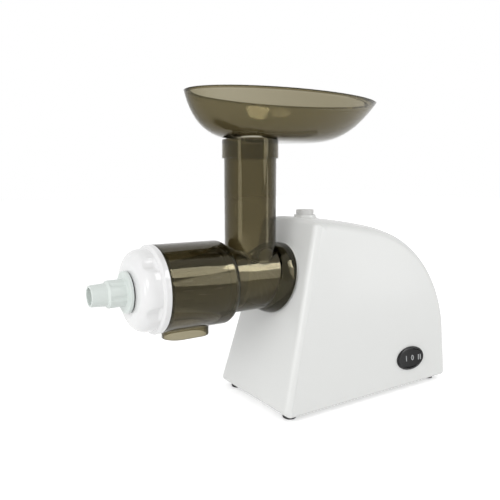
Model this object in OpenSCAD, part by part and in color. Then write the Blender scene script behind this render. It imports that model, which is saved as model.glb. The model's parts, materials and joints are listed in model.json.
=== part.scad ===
// Electric tomato press: a motor body with a press head, feed tube and tray.
// The press axis runs along X and its nozzle points to -X. Z = 0 is the table.

/* [Body] */
// Height of the body's underside above the table, the height of a foot
foot_h = 5.5; // [4:0.5:8]
// Height of the body from its underside to the top of its roof
body_h = 190.8; // [184:0.2:198]
// Length of the body's underside
body_l = 236; // [228:0.5:260]
// Distance from the feed tube's axis back to the body's front lower edge, forward if negative
body_gap = -1; // [-2:0.5:6]
// Width of the body's underside
base_w = 130; // [124:1:145]
// Lean of each side wall, degrees
side_lean = 5.5; // [3:0.1:6]
// Lean of the front face, degrees
lean = 14.9; // [12:0.1:17]
// Radius of the big arc over the back
back_r = 126; // [112:1:134]
// Radius of the roof's long arc
roof_r = 620; // [500:5:700]
// Slope at which the roof's arc meets the back's arc, degrees
roof_slope = 11.4; // [9:0.2:13]
// Rise of the roof's middle over its side edges
crown = 3.3; // [0:0.1:5]
// Rounding of the body's upright edges
edge_r = 5.5; // [4:0.5:5.5]
// Rounding of the roof's side edges
roof_edge_r = 7.5; // [5:0.5:7.5]
// Rounding of the underside's side edges
foot_edge_r = 4; // [3:0.5:5]
// Rounding of the front's upper edge
brow_r = 8; // [8:0.5:12]
// Rounding of the underside's front edge
toe_r = 6; // [6:0.5:6.5]
// Rounding of the underside's back edge
heel_r = 7.5; // [6:0.5:8]
// Wall of the body
body_wall = 2.8; // [2.2:0.1:3.4]

/* [Base] */
// Thickness of the base plate
base_t = 3; // [2.4:0.2:4]
// Width of the body's rim beside the base plate
rim_w = 5.5; // [5:0.5:6]
// Width of the body's rim at the base plate's ends
rim_end = 7; // [6.5:0.5:7.5]
// Radius of a foot
foot_r = 7.5; // [6:0.5:7.5]
// Distance of the front feet from the body's front edge
foot_front = 15.5; // [15.5:0.5:20]
// Distance of the back feet from the body's back edge
foot_back = 15.5; // [15.5:0.5:22]
// Distance of the feet from the body's sides
foot_side = 16; // [14:0.5:20]
// Radius of the base screws' shanks
screw_r = 1.9; // [1.5:0.1:2.2]
// Radius of the screw posts
post_r = 5; // [4:0.5:6]
// Number of vent slots
vent_n = 9; // [5:1:12]
// Width of a vent slot
vent_w = 3; // [2:0.5:4]
// Length of a vent slot
vent_l = 34; // [24:1:40]

/* [Press head] */
// Height of the press axis over the body's underside, as a share of the body's height
axis_share = 0.6735; // [0.66:0.0005:0.69]
// Outside diameter of the feed tube
tube_d = 52; // [48:0.5:56]
// Wall of the feed tube
tube_wall = 2.6; // [2:0.1:3]
// Height of the feed tube's mouth above the press axis
tube_h = 134; // [124:1:144]
// Outside radius of the barrel
barrel_r = 32.2; // [31.6:0.1:33.4]
// Wall of the barrel
barrel_wall = 2.5; // [2:0.1:3]
// Outside radius of the juice housing
juice_r = 41.1; // [40.4:0.1:43]
// Wall of the juice housing
juice_wall = 3; // [2.4:0.1:3.4]
// Distance of the juice housing's back wall from the tube's axis
juice_back = 33.7; // [32:0.1:38]
// Length of the juice housing
juice_l = 71.3; // [68:0.1:78]
// Rounding of the juice housing's shoulder
shoulder_r = 7; // [5:0.5:10]
// Length of the spout's opening along the press axis
spout_l = 47; // [40:1:52]
// Width of the spout's opening across the axis
spout_w = 28; // [20:1:34]
// Depth of the spout's mouth below the press axis
spout_h = 48; // [46:0.5:54]
// Wall of the spout
spout_wall = 2.2; // [1.8:0.1:3]
// Radius of the bell's rim at the body
bell_r = 37.5; // [36:0.5:40]
// Length of the bell along the axis
bell_l = 16; // [12:0.5:18]
// Radius of the spigot in the socket
spigot_r = 30; // [29:0.1:30.8]
// Wall of the spigot
spigot_wall = 4.8; // [4.6:0.1:5.4]
// Length of the spigot behind the bell
spigot_l = 25.5; // [25:0.5:28]

/* [Ring nut] */
// Outside radius of the nut's rim band
nut_r = 41.2; // [40.4:0.1:43]
// Length of the rim band
nut_band = 6; // [4:0.5:8]
// Radius of the gripped part
grip_r = 37.8; // [37.4:0.1:39]
// Length of the nut
nut_l = 24.6; // [23:0.1:28]
// Radius of the nut's flat front
nut_face_r = 24; // [22:0.5:28]
// Wall of the nut
nut_wall = 2.6; // [2:0.1:2.8]
// Number of finger recesses
grip_n = 5; // [4:1:8]
// Radius of a finger recess
recess_r = 13; // [10:0.5:16]
// Depth of a finger recess
recess_d = 3; // [2:0.2:3.6]
// Radius of the screw neck that the nut turns on
neck_r = 35.2; // [34.8:0.1:35.4]
// Wall of the screw neck
neck_wall = 2.2; // [1.8:0.1:2.2]
// Length of the screw neck
neck_l = 6; // [5.5:0.5:8]

/* [Pulp nozzle] */
// Outside radius of the nozzle at its tip
tip_r = 9.6; // [8.6:0.1:10.4]
// Length of the plain tip
tip_l = 13.9; // [10:0.1:18]
// Outside radius of the fluted part
flute_r = 12.4; // [11.8:0.1:13.5]
// Length of the fluted part
flute_l = 16.7; // [12:0.1:20]
// Radius of the nozzle's flange
flange_r = 19.2; // [18.6:0.1:21]
// Thickness of the nozzle's flange
flange_t = 3.3; // [2.5:0.1:4]
// Number of flutes
flute_n = 6; // [4:1:8]
// Radius of the nozzle's bore
bore_r = 7.6; // [6.6:0.1:8]
// Radius of the nozzle's screwed stem
stem_r = 15.5; // [14.5:0.1:16]
// Length of the nozzle's screwed stem
stem_l = 9; // [7:0.5:10]

/* [Tray] */
// Length of the tray's rim
tray_l = 228.2; // [200:1:244]
// Width of the tray's rim
tray_w = 111.8; // [96:1:120]
// Depth of the tray's dish
tray_h = 45; // [36:1:52]
// Wall of the tray
tray_wall = 2.2; // [1.8:0.1:2.8]
// Distance of the rim's middle behind the tube's axis
tray_x = 45.3; // [30:0.5:50]
// How far the dish's floor lies forward of the rim's middle
tray_shift = 14.5; // [6:0.5:18]
// Length of the tray's collar
collar_h = 17; // [14:0.5:22]
// Wall of the tray's collar
collar_wall = 1.7; // [1.4:0.1:2.2]

/* [Release button] */
// Radius of the button
button_r = 9.4; // [8:0.1:10]
// How far the button stands out of its collar
button_h = 5.5; // [4:0.5:8]
// Distance of the button behind the tube's axis
button_x = 70; // [66:0.5:76]
// Travel of the button
button_travel = 3; // [2.6:0.1:3.4]
// Wall of the button's collar
cup_wall = 1.9; // [1.5:0.1:2.4]

/* [Switch] */
// Length of the switch bezel
bezel_l = 42; // [40:0.5:46]
// Height of the switch bezel
bezel_w = 25.8; // [24:0.2:28]
// How far the bezel stands off the wall
bezel_t = 2.4; // [1.6:0.2:4]
// Distance of the switch's middle in front of the body's back
switch_x = 61.8; // [54:0.2:70]
// Height of the switch's middle above the underside
switch_z = 29.9; // [27:0.1:36]
// Width of the bezel's rim round the rocker
bezel_rim = 2.6; // [2.4:0.2:3.4]

/* [Gears] */
// Width of a body's underside that holds gears and a motor of the sizes below
gear_w = 130; // [128:1:134]
// Height of a body that holds gears and a motor of the sizes below
gear_h = 190.8; // [188:0.2:198]
// Module of the motor pinion's gear pair
mod_1 = 1; // [0.95:0.01:1.02]
// Module of the middle gear pair
mod_2 = 1.25; // [1.2:0.01:1.28]
// Module of the last gear pair
mod_3 = 1.5; // [1.46:0.01:1.52]
// Width of the last gear pair
face_3 = 11; // [9:0.5:12]
// Width of the middle gear pair
face_2 = 8; // [6:0.5:9]
// Width of the first gear pair
face_1 = 7; // [6:0.5:8]
// Radius of the output spindle
spindle_r = 8; // [7:0.1:8.6]
// Radius of the gear pins
pin_r = 4; // [3:0.1:4.4]
// Wall of the gearbox
case_wall = 2.6; // [2:0.1:2.8]

/* [Motor] */
// Radius of the stator
stator_r = 32; // [29:0.5:33]
// Length of the stator
stator_l = 34; // [28:1:40]
// Radius of the rotor
rotor_r = 18.4; // [16:0.2:18.8]
// Radius of the rotor shaft
shaft_r = 3; // [2.5:0.1:3.4]
// Radius of the cooling fan
fan_r = 24; // [20:0.5:26]

/* [Auger] */
// Radius of the auger's core in the barrel
core_r = 13; // [11:0.5:15]
// Pitch of the auger's flight
flight_pitch = 34; // [28:1:40]
// Running gap round the auger's flight
flight_gap = 0.8; // [0.5:0.1:1.2]
// Radius of the sieve's opening at the front
sieve_front_r = 17; // [16:0.2:18]
// Wall of the sieve
sieve_wall = 1.2; // [0.8:0.1:1.6]

/* [Hidden] */
$fn = 96;
fit = 0.3;         // gap between pieces of different bodies
slip = 0.05;       // radial gap of a running shaft
press = 0.02;      // radial gap of a pressed or screwed seat
over = 1;          // overrun of every cut

front_x = body_gap;
back_x = front_x + body_l;
roof_z = foot_h + body_h;
axis_z = foot_h + axis_share * body_h;
nut_back = juice_back + juice_l;
nut_front = nut_back + nut_l;
seal_t = 1;
nozzle_back = nut_front + seal_t + fit;
tip_x = nozzle_back + flange_t + flute_l + tip_l;
mid_x = (back_x - tip_x) / 2;

// Circle centres of the side outline: the back's arc, then the roof's arc
back_c = [back_x - back_r, roof_z - roof_r + (roof_r - back_r) * cos(roof_slope)];
roof_c = back_c + (back_r - roof_r) * [sin(roof_slope), cos(roof_slope)];
// Directions along the leaning front and into the body
up_front = [sin(lean), cos(lean)];
in_front = [cos(lean), -sin(lean)];
front_foot = [front_x, foot_h];
brow_0 = front_foot + in_front * brow_r - roof_c;
brow_s = -(brow_0 * up_front) + sqrt(pow(brow_0 * up_front, 2) - brow_0 * brow_0 + pow(roof_r - brow_r, 2));
brow_c = roof_c + brow_0 + up_front * brow_s;
brow_a = atan2(brow_c[1] - roof_c[1], brow_c[0] - roof_c[0]);
toe_s = toe_r * (1 + sin(lean)) / cos(lean);
toe_c = front_foot + in_front * toe_r + up_front * toe_s;
heel_c = [back_x - heel_r, foot_h + heel_r];

// The mating plane leans like the front face and stands in front of it
boss_out = 2.8;
face_x = front_x + tan(lean) * (axis_z - foot_h);
mate_x = face_x - boss_out;
boss_step = 3.5;
boss_r = bell_r - boss_step;
bell_drop = 2;
spigot_back = mate_x + spigot_l;
head_wall_t = 3;
head_wall_x = mate_x - fit;

// Latch plate between the socket's sleeve and the gearbox cover
latch_t = 2;
latch_gap = 0.4;
sleeve_short = 5.5;
sleeve_back = spigot_back - sleeve_short;
latch_x = sleeve_back + latch_gap;
cover_x = latch_x + latch_t + latch_gap;
latch_lift = button_travel - latch_gap / 2;
latch_open_r = spigot_r + latch_gap;
groove_d = latch_lift - latch_gap + fit;
latch_rim = 7;
cover_ring = spigot_back - cover_x + over;

// Gearbox layers along the axis, front to back
cover_t = 3;
box_x = cover_x + cover_ring;
layer_gap = 2;
layer_3 = box_x + cover_t + layer_gap;
layer_2 = layer_3 + face_3 + layer_gap;
layer_1 = layer_2 + face_2 + layer_gap;
box_back = layer_1 + face_1 + layer_gap;
case_back = box_back + cover_t;
gear_scale = min(base_w / gear_w, body_h / gear_h);
m_1 = mod_1 * gear_scale;
m_2 = mod_2 * gear_scale;
m_3 = mod_3 * gear_scale;
teeth_1 = 55;
teeth_1p = 11;
teeth_2 = 50;
teeth_2p = 11;
teeth_3 = 45;
teeth_3p = 12;
dist_1 = m_1 * (teeth_1 + teeth_1p) / 2;
dist_2 = m_2 * (teeth_2 + teeth_2p) / 2;
dist_3 = m_3 * (teeth_3 + teeth_3p) / 2;
// Directions from the spindle to pin B, from B to pin A, and from A to the motor
way_3 = -73.7;
way_2 = -142.5;
way_1 = 0;
pin_b = dist_3 * [cos(way_3), sin(way_3)];
pin_a = pin_b + dist_2 * [cos(way_2), sin(way_2)];
motor_c = pin_a + dist_1 * [cos(way_1), sin(way_1)];
tip_share = 0.85;
root_share = 1.2;
thin_share = 0.09;
case_gap = 1.5;
case_3 = m_3 * (teeth_3 / 2 + tip_share) + case_gap;
case_2 = m_2 * (teeth_2 / 2 + tip_share) + case_gap;
case_1 = m_1 * (teeth_1 / 2 + tip_share) + case_gap;
case_0 = 10;
lug_r = 4.6;
lug_screw_r = 1.6;
head_share = 1.9;
// Turn of each gear at rest, so that the teeth stand in mesh
turn_3 = 0;
turn_b = mesh_turn(way_3, teeth_3, turn_3, teeth_3p);
turn_b2 = 0;
turn_a2 = mesh_turn(way_2, teeth_2, turn_b2, teeth_2p);
turn_a = 0;
turn_m = mesh_turn(way_1, teeth_1, turn_a, teeth_1p);

// Motor stations along its axis
fan_room = 6;
fan_t = 8;
coil_room = 10;
comm_room = 11;
brush_room = 6;
fan_x = case_back + cover_t + fan_room;
stator_x = fan_x + fan_t + coil_room;
stator_back = stator_x + stator_l;
comm_x = stator_back + comm_room;
comm_l = 11;
comm_r = 9.5;
tail_x = comm_x + comm_l + brush_room;
bearing_r = 8;
bearing_t = 5;
air_gap = 0.6;
yoke_t = 6.5;
stator_out = stator_r * gear_scale;
rotor_out = rotor_r * gear_scale;
fan_out = fan_r * gear_scale;
pole_r = rotor_out + air_gap;
yoke_r = stator_out - yoke_t;
coil_out = 7;

// Tray and feed tube
tube_r = tube_d / 2;
tube_top = axis_z + tube_h;
dish_rise = 3.4;
dish_z = tube_top + dish_rise;
rim_z = dish_z + tray_h;
collar_r = tube_r + fit + collar_wall;
dish_share = 4.4;

// Release button
cup_r = button_r + fit + cup_wall;
cup_rise = 0.4;
cup_deep = 8;
cup_z = roof_z + cup_rise;
shelf_z = cup_z - cup_deep;
shelf_t = 2.2;
button_top = cup_z + button_h;
button_wall = 1.6;
button_skirt = shelf_z + button_travel + over;
stem_pin_r = 3.9;
tab_t = 2;
tab_gap = 2.2;
tab_z = axis_z + case_3 + case_wall + button_travel + tab_gap;

// Sieve, drive and auger
sieve_back = juice_back + juice_wall + fit;
sieve_l = nut_front - nut_wall - fit - sieve_back;
barrel_in = barrel_r - barrel_wall;
auger_back = head_wall_x - fit;
auger_front = nozzle_back - stem_l - over;
hex_r = 5.7;
drive_r = 7;
drive_gap = 5;
drive_front = head_wall_x + head_wall_t + drive_gap;
drive_l = 8;

LOOP = concat(
    arc2(toe_c, toe_r, 270, 180 - lean, 4),
    arc2(brow_c, brow_r, 180 - lean, brow_a, 5),
    arc2(roof_c, roof_r, brow_a, 90 - roof_slope, 6),
    arc2(back_c, back_r, 90 - roof_slope, 0, 12),
    arc2(heel_c, heel_r, 0, -90, 5)
);
FLAT_SHARES = [0, 0.4, 0.65, 0.85, 1];
ROUND_TURNS = [22.5, 45, 67.5, 90];
crown_power = 4;

// A rounded corner as [point, outward direction] pairs
function arc2(c, r, a0, a1, n) =
    [for (i = [0:n]) let (a = a0 + (a1 - a0) * i / n) [c + r * [cos(a), sin(a)], [cos(a), sin(a)]]];
// Points of a plain arc
function arc(c, r, a0, a1, n) = [for (i = [0:n]) let (a = a0 + (a1 - a0) * i / n) c + r * [cos(a), sin(a)]];
// Half the body's width at a height
function half_w(z) = base_w / 2 - tan(side_lean) * (z - foot_h);
// One point of the body's skin: outline station p, how far out to the side, edge turn, inset
function skin(p, side, share, turn, inset) =
    let (
        rise = pow(max(0, p[1][1]), 2),
        sink = pow(max(0, -p[1][1]), 2),
        r_out = edge_r + (roof_edge_r - edge_r) * rise + (foot_edge_r - edge_r) * sink,
        r = max(r_out - inset, r_out / 4),
        depth = inset + r * (1 - cos(turn)) + crown * rise * pow(share, crown_power),
        at = p[0] - depth * p[1],
        half = half_w(at[1]) - inset
    )
    [at[0], side * ((half - r) * share + r * sin(turn)), at[1]];
// Turn of a gear whose teeth stand in mesh with a gear of n1 teeth turned by t1
function mesh_turn(way, n1, t1, n2) = way + 180 - (t1 - way) * n1 / n2 + 180 / n2;

module place() {
    translate([-mid_x, 0, 0]) children();
}

// Turns a shape drawn upwards so that it lies along +X, at the press axis
module along_x(x, at = [0, 0]) {
    translate([x, at[0], axis_z + at[1]]) rotate([90, 0, 90]) children();
}

module rod(x0, x1, r, at = [0, 0]) {
    along_x(x0, at) cylinder(h = x1 - x0, r = r);
}

module pipe(x0, x1, r_out, r_in, at = [0, 0]) {
    along_x(x0, at) difference() {
        cylinder(h = x1 - x0, r = r_out);
        translate([0, 0, -over]) cylinder(h = x1 - x0 + 2 * over, r = r_in);
    }
}

// A solid turned about the press axis from [x, radius] points
module turned(points) {
    along_x(0) rotate_extrude() polygon([for (p = points) [p[1], p[0]]]);
}

// The body's form, drawn in by inset
module body_form(inset) {
    halves = concat(
        [for (t = [len(ROUND_TURNS) - 1:-1:0]) [-1, 1, ROUND_TURNS[t]]],
        [for (s = [len(FLAT_SHARES) - 1:-1:1]) [-1, FLAT_SHARES[s], 0]],
        [for (s = [0:len(FLAT_SHARES) - 1]) [1, FLAT_SHARES[s], 0]],
        [for (t = [0:len(ROUND_TURNS) - 1]) [1, 1, ROUND_TURNS[t]]]
    );
    n = len(LOOP);
    m = len(halves);
    polyhedron(
        points = [for (h = halves) for (p = LOOP) skin(p, h[0], h[1], h[2], inset)],
        faces = concat(
            [for (i = [1:n - 2]) [0, i, i + 1]],
            [for (i = [1:n - 2]) [(m - 1) * n, (m - 1) * n + i + 1, (m - 1) * n + i]],
            [for (j = [0:m - 2]) for (i = [0:n - 1]) [j * n + i, (j + 1) * n + i, j * n + (i + 1) % n]],
            [for (j = [0:m - 2]) for (i = [0:n - 1])
                [(j + 1) * n + i, (j + 1) * n + (i + 1) % n, j * n + (i + 1) % n]]
        )
    );
}

// A slab between two planes that lean like the front face, given at the axis
module lean_slab(x0, x1) {
    span = body_h;
    translate([x0, 0, axis_z]) rotate([0, lean, 0])
        translate([0, -span / 2, -span / 2]) cube([(x1 - x0) * cos(lean), span, span]);
}

// A flat ellipse
module ellipse(l, w) {
    polygon([for (i = [0:ellipse_sides - 1]) let (a = i * 360 / ellipse_sides)
        [l / 2 * cos(a), w / 2 * sin(a)]]);
}
ellipse_sides = 48;

// A flat oval with round ends
module oval(l, w) {
    square([l - w, w], center = true);
    for (side = [-1, 1]) translate([side * (l - w) / 2, 0]) circle(d = w);
}

// A rectangle with round corners, given by two corners
module round_plan(x0, x1, w, r) {
    translate([x0 + r, -w / 2]) square([x1 - x0 - 2 * r, w]);
    translate([x0, -w / 2 + r]) square([x1 - x0, w - 2 * r]);
    for (x = [x0 + r, x1 - r]) for (side = [-1, 1]) translate([x, side * (w / 2 - r)]) circle(r = r);
}

// Outline of the base plate
module plate_plan() {
    round_plan(front_x + rim_end + fit, back_x - rim_end - fit, base_w - 2 * rim_w - 2 * fit, rim_w - fit);
}

// Stands a shape on the switch side's wall, its height pointing out
module on_side(lift = 0) {
    z = foot_h + switch_z;
    translate([back_x - switch_x, -half_w(z), z]) rotate([90 - side_lean, 0, 0])
        translate([0, 0, lift]) children();
}

// The four places of the feet
module at_feet() {
    for (x = [front_x + foot_front, back_x - foot_back]) for (side = [-1, 1])
        translate([x, side * (base_w / 2 - foot_side), 0]) children();
}

// The four places of the base screws, inside the feet
post_gap = 3;
screw_in = foot_r + post_r + post_gap;
POST_X = [front_x + foot_front + screw_in, back_x - foot_back - screw_in];
module at_posts() {
    for (x = POST_X) for (side = [-1, 1]) translate([x, side * (base_w / 2 - foot_side), 0]) children();
}

// Outline of the gearbox, grown by g
module box_outline(g) {
    circle(r = case_3 + g);
    translate(pin_b) circle(r = case_2 + g);
    translate(pin_a) circle(r = case_1 + g);
    translate(motor_c) circle(r = case_0 + g);
}

// The upper lugs' screw heads stay clear of the cover's ring
top_lug = max(case_3 + lug_r / 2 + case_wall / 2, boss_r + fit + lug_screw_r * head_share);
// Places of the gearbox screws' lugs
LUGS = [
    top_lug * [cos(40), sin(40)],
    top_lug * [cos(140), sin(140)],
    pin_b + (case_2 + lug_r / 2 + case_wall / 2) * [cos(-35), sin(-35)],
    pin_a + (case_1 + lug_r / 2 + case_wall / 2) * [cos(215), sin(215)],
    pin_a + (case_1 + lug_r / 2 + case_wall / 2) * [cos(140), sin(140)]
];

// Flat outline of a gear wheel of n teeth
module gear_plan(n, mod, turn) {
    root = mod * (n / 2 - root_share);
    pitch = mod * n / 2;
    tip = mod * (n / 2 + tip_share);
    base = pitch * cos(20);
    low = max(root, base);
    thin = thin_share * 360 / (2 * PI * n / 2) / 2;
    half = function(r) 90 / n - thin + (inv(20) - inv(acos(min(1, base / r))));
    radii = [root, max(low, (root + pitch) / 2), pitch, tip];
    angles = [half(low), half(max(low, (root + pitch) / 2)), half(pitch), half(tip)];
    polygon([for (i = [0:n - 1]) let (c = turn + i * 360 / n) each concat(
        [for (k = [0:3]) radii[k] * [cos(c - angles[k]), sin(c - angles[k])]],
        [for (k = [3:-1:0]) radii[k] * [cos(c + angles[k]), sin(c + angles[k])]]
    )]);
}
// Involute function, in degrees
function inv(a) = tan(a) * 180 / PI - a;

module gear(x, face, n, mod, turn, at, hole) {
    along_x(x, at) linear_extrude(face) difference() {
        gear_plan(n, mod, turn);
        circle(r = hole);
    }
}

module housing_shell() color("white") place() {
    difference() {
        union() {
            difference() {
                body_form(0);
                body_form(body_wall);
                translate([0, 0, foot_h - over]) linear_extrude(deck_z - foot_h + over)
                    round_plan(front_x + rim_end, back_x - rim_end, base_w - 2 * rim_w, rim_w);
            }
            screw_posts();
            // Socket boss and its sleeve behind the front wall
            intersection() {
                rod(front_x, sleeve_back, boss_r);
                lean_slab(mate_x, body_l);
            }
            // Cup of the release button
            translate([button_x, 0, shelf_z - shelf_t]) cylinder(h = cup_z - shelf_z + shelf_t, r = cup_r);
            translate([button_x, 0, roof_z - cup_sink]) cylinder(
                h = cup_z - roof_z + cup_sink - over, r1 = cup_r + cup_foot, r2 = cup_r);
        }
        rod(front_x - over, sleeve_back + over, spigot_r + fit);
        translate([button_x, 0, shelf_z]) cylinder(h = body_h, r = button_r + fit);
        translate([button_x, 0, shelf_z - shelf_t - over])
            cylinder(h = shelf_t + 2 * over, r = stem_pin_r + fit);
        on_side(-body_wall * 2) linear_extrude(body_wall * 4)
            ellipse(switch_hole_l + 2 * press, switch_hole_w + 2 * press);
        translate([back_x - body_wall * 2, gland_y, gland_z]) rotate([0, 90, 0])
            cylinder(h = body_wall * 4, r = gland_r);
    }
}
cup_foot = 5;
cup_sink = 4.3;
skirt_t = 1.3;
switch_hole_l = bezel_l - 2 * (bezel_rim - skirt_t);
switch_hole_w = bezel_w - 2 * (bezel_rim - skirt_t);
gland_r = 6;
gland_y = 30;
gland_up = 8;
gland_z = foot_h + heel_r + gland_r + gland_up;
post_h = 26;
// Top of the base plate's opening, where the screw posts begin
deck_z = foot_h + max(base_t, body_wall + fit);

// Posts that take the base screws, each with a rib to its side wall
module screw_posts() {
    rib_z0 = deck_z + fit;
    rib_z1 = deck_z + post_h - fit;
    rib_y = base_w / 2 - foot_side;
    at_posts() difference() {
        translate([0, 0, deck_z]) cylinder(h = post_h, r = post_r);
        translate([0, 0, foot_h]) cylinder(h = deck_z - foot_h + post_h - body_wall, r = screw_r + press);
    }
    for (x = POST_X) for (side = [-1, 1])
        translate([x - body_wall / 2, 0, 0]) rotate([90, 0, 90]) linear_extrude(body_wall) polygon([
            [side * (rib_y + screw_r + over), rib_z0], [side * (half_w(rib_z0) - body_wall / 2), rib_z0],
            [side * (half_w(rib_z1) - body_wall / 2), rib_z1], [side * (rib_y + screw_r + over), rib_z1]
        ]);
}

module base_plate() color("whitesmoke") place() difference() {
    union() {
        translate([0, 0, foot_h]) linear_extrude(base_t) plate_plan();
        cradles();
    }
    at_posts() translate([0, 0, foot_h - over]) cylinder(h = base_t + 2 * over, r = screw_r + fit);
    at_posts() translate([0, 0, foot_h - over]) cylinder(h = over + base_t / 2, r = screw_head_r + fit);
    at_feet() translate([0, 0, foot_h - over]) cylinder(h = over + foot_seat, r = foot_r + press);
    for (i = [0:vent_n - 1]) translate([vent_x + i * vent_w * 2, 0, foot_h - over])
        linear_extrude(base_t + 2 * over) rotate(90) oval(vent_l, vent_w);
}
screw_head_r = screw_r * head_share;
foot_seat = 1.4;
vent_gap = 8;
vent_x = stator_x + stator_l + vent_gap;
cradle_t = 4;
cradle_w = 26;

// Uprights that carry the gearbox and the motor
module cradles() {
    case_low = axis_z + pin_a[1] - case_1 - case_wall;
    motor_low = axis_z + motor_c[1] - stator_out;
    difference() {
        union() {
            translate([layer_2, pin_a[0] - cradle_w / 2, foot_h + base_t])
                cube([cradle_t, cradle_w, case_low - foot_h - base_t + cradle_t]);
            for (x = [stator_x + cradle_t, stator_back - 2 * cradle_t])
                translate([x, motor_c[0] - cradle_w / 2, foot_h + base_t])
                    cube([cradle_t, cradle_w, motor_low - foot_h - base_t + cradle_t]);
        }
        rod(box_x, case_back, case_1 + case_wall + press, pin_a);
        rod(stator_x - over, stator_back + over, stator_out + press, motor_c);
    }
}

module rubber_feet() color("black") place() at_feet() {
    difference() {
        cylinder(h = foot_h + foot_seat, r1 = foot_r - foot_seat / 2, r2 = foot_r);
        translate([0, 0, -over]) cylinder(h = over + foot_h / 2, r = foot_r / 3);
    }
}

module base_screws() color("silver") place() at_posts() {
    translate([0, 0, foot_h + press]) cylinder(h = base_t / 2 - press, r = screw_head_r);
    translate([0, 0, foot_h + base_t / 2]) cylinder(h = post_h / 2, r = screw_r);
}

module cord_gland() color("dimgray") place()
    translate([back_x - body_wall - press, gland_y, gland_z]) rotate([0, 90, 0]) difference() {
        union() {
            translate([0, 0, -gland_lip]) cylinder(h = gland_lip, r = gland_r + gland_lip);
            cylinder(h = body_wall + 2 * press, r = gland_r - press);
            translate([0, 0, body_wall + 2 * press]) cylinder(h = gland_lip, r = gland_r + gland_lip);
        }
        translate([0, 0, -gland_lip - over]) cylinder(h = body_wall + 2 * (gland_lip + over), r = gland_r / 2);
    }
gland_lip = 2;

module release_button() color("gainsboro") place() translate([button_x, 0, 0]) {
    difference() {
        translate([0, 0, button_skirt]) cylinder(h = button_top - button_skirt, r = button_r);
        translate([0, 0, button_skirt - over]) cylinder(
            h = button_top - button_skirt - button_wall + over, r = button_r - button_wall);
    }
    translate([0, 0, tab_z + tab_t]) cylinder(h = button_top - button_wall / 2 - tab_z - tab_t, r = stem_pin_r);
}

spring_r = (button_r - button_wall + stem_pin_r) / 2;
spring_wire = 1.1;
module button_spring() color("silver") place() translate([button_x, 0, shelf_z]) difference() {
    cylinder(h = button_top - button_wall - shelf_z, r = spring_r + spring_wire / 2);
    translate([0, 0, -over]) cylinder(h = button_top, r = spring_r - spring_wire / 2);
}

// Keyhole plate in the spigot's groove, with a tab that runs back under the button
module latch_plate() color("silver") place() {
    difference() {
        along_x(latch_x, [0, latch_lift]) linear_extrude(latch_t) difference() {
            union() {
                circle(r = latch_open_r + latch_rim);
                translate([-tab_w / 2, 0]) square([tab_w, tab_z + tab_t - axis_z - latch_lift]);
            }
            circle(r = latch_open_r);
        }
        lean_slab(face_x - body_wall * 4, face_x + body_wall / cos(lean) + fit);
    }
    translate([latch_x, -tab_w / 2, tab_z]) cube([button_x + stem_pin_r - latch_x, tab_w, tab_t]);
}
tab_w = 16;

module switch_bezel() color("black") place() on_side() difference() {
    union() {
        linear_extrude(step_z) ellipse(bezel_l, bezel_w);
        translate([0, 0, step_z - press]) linear_extrude(bezel_t - step_z + press)
            ellipse(bezel_l - step_w, bezel_w - step_w);
        translate([0, 0, -bezel_deep]) linear_extrude(bezel_deep) ellipse(switch_hole_l, switch_hole_w);
    }
    translate([0, 0, -bezel_deep - over]) linear_extrude(bezel_deep + bezel_t + 2 * over)
        ellipse(rocker_hole_l, rocker_hole_w);
    translate([0, 0, -rocker_pin_r * 2]) rotate([90, 0, 0])
        cylinder(h = switch_hole_w + 2 * over, r = rocker_pin_r + slip, center = true);
}
step_share = 0.6;
step_z = bezel_t * step_share;
step_w = bezel_rim * step_share;
bezel_tail = 4;
bezel_deep = body_wall + bezel_tail;
rocker_hole_l = bezel_l - 2 * bezel_rim;
rocker_hole_w = bezel_w - 2 * bezel_rim;
rocker_turn = 9;
rocker_pin_r = 1.2;

// A hollow-faced rocker on a cross pin, pressed at its front end at rest
module switch_rocker() color("black") place() on_side()
    translate([0, 0, -rocker_pin_r * 2]) rotate([0, -rocker_turn, 0]) {
        translate([0, 0, rocker_pin_r * 2]) intersection() {
            translate([0, 0, -bezel_deep]) linear_extrude(bezel_deep * 2 + bezel_t)
                ellipse(rocker_hole_l - 2 * rocker_swing, rocker_hole_w - 2 * fit);
            rotate([90, 0, 0]) translate([0, 0, -bezel_w / 2]) linear_extrude(bezel_w) polygon(concat(
                [[-bezel_l / 2, rocker_end], [-bezel_l / 2, -rocker_deep], [bezel_l / 2, -rocker_deep],
                 [bezel_l / 2, rocker_end]],
                arc([0, rocker_dish_r + rocker_mid], rocker_dish_r, -90 + rocker_arc, -90 - rocker_arc, 10)
            ));
        }
        rotate([90, 0, 0]) cylinder(h = rocker_hole_w + skirt_t, r = rocker_pin_r, center = true);
    }
rocker_swing = 1;
rocker_deep = 3.6;
mid_share = 0.3;
rocker_rise = 1.2;
rocker_mid = bezel_t * mid_share;
rocker_end = bezel_t + rocker_rise;
rocker_dish_r = (pow(bezel_l / 2, 2) + pow(rocker_end - rocker_mid, 2)) / (2 * (rocker_end - rocker_mid));
rocker_arc = asin(bezel_l / 2 / rocker_dish_r);

module switch_body() color("dimgray") place() on_side(-bezel_deep - press - switch_deep) {
    translate([-switch_body_l / 2, -switch_body_w / 2, 0]) cube([switch_body_l, switch_body_w, switch_deep]);
    for (i = [-1:1]) translate([i * switch_body_l / 3 - tag_t / 2, -tag_w / 2, -tag_l])
        cube([tag_t, tag_w, tag_l + press]);
}
switch_deep = 15;
body_step = 6;
switch_body_l = rocker_hole_l - body_step;
switch_body_w = rocker_hole_w - body_step;
tag_t = 0.8;
tag_w = 6;
tag_l = 7;

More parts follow.
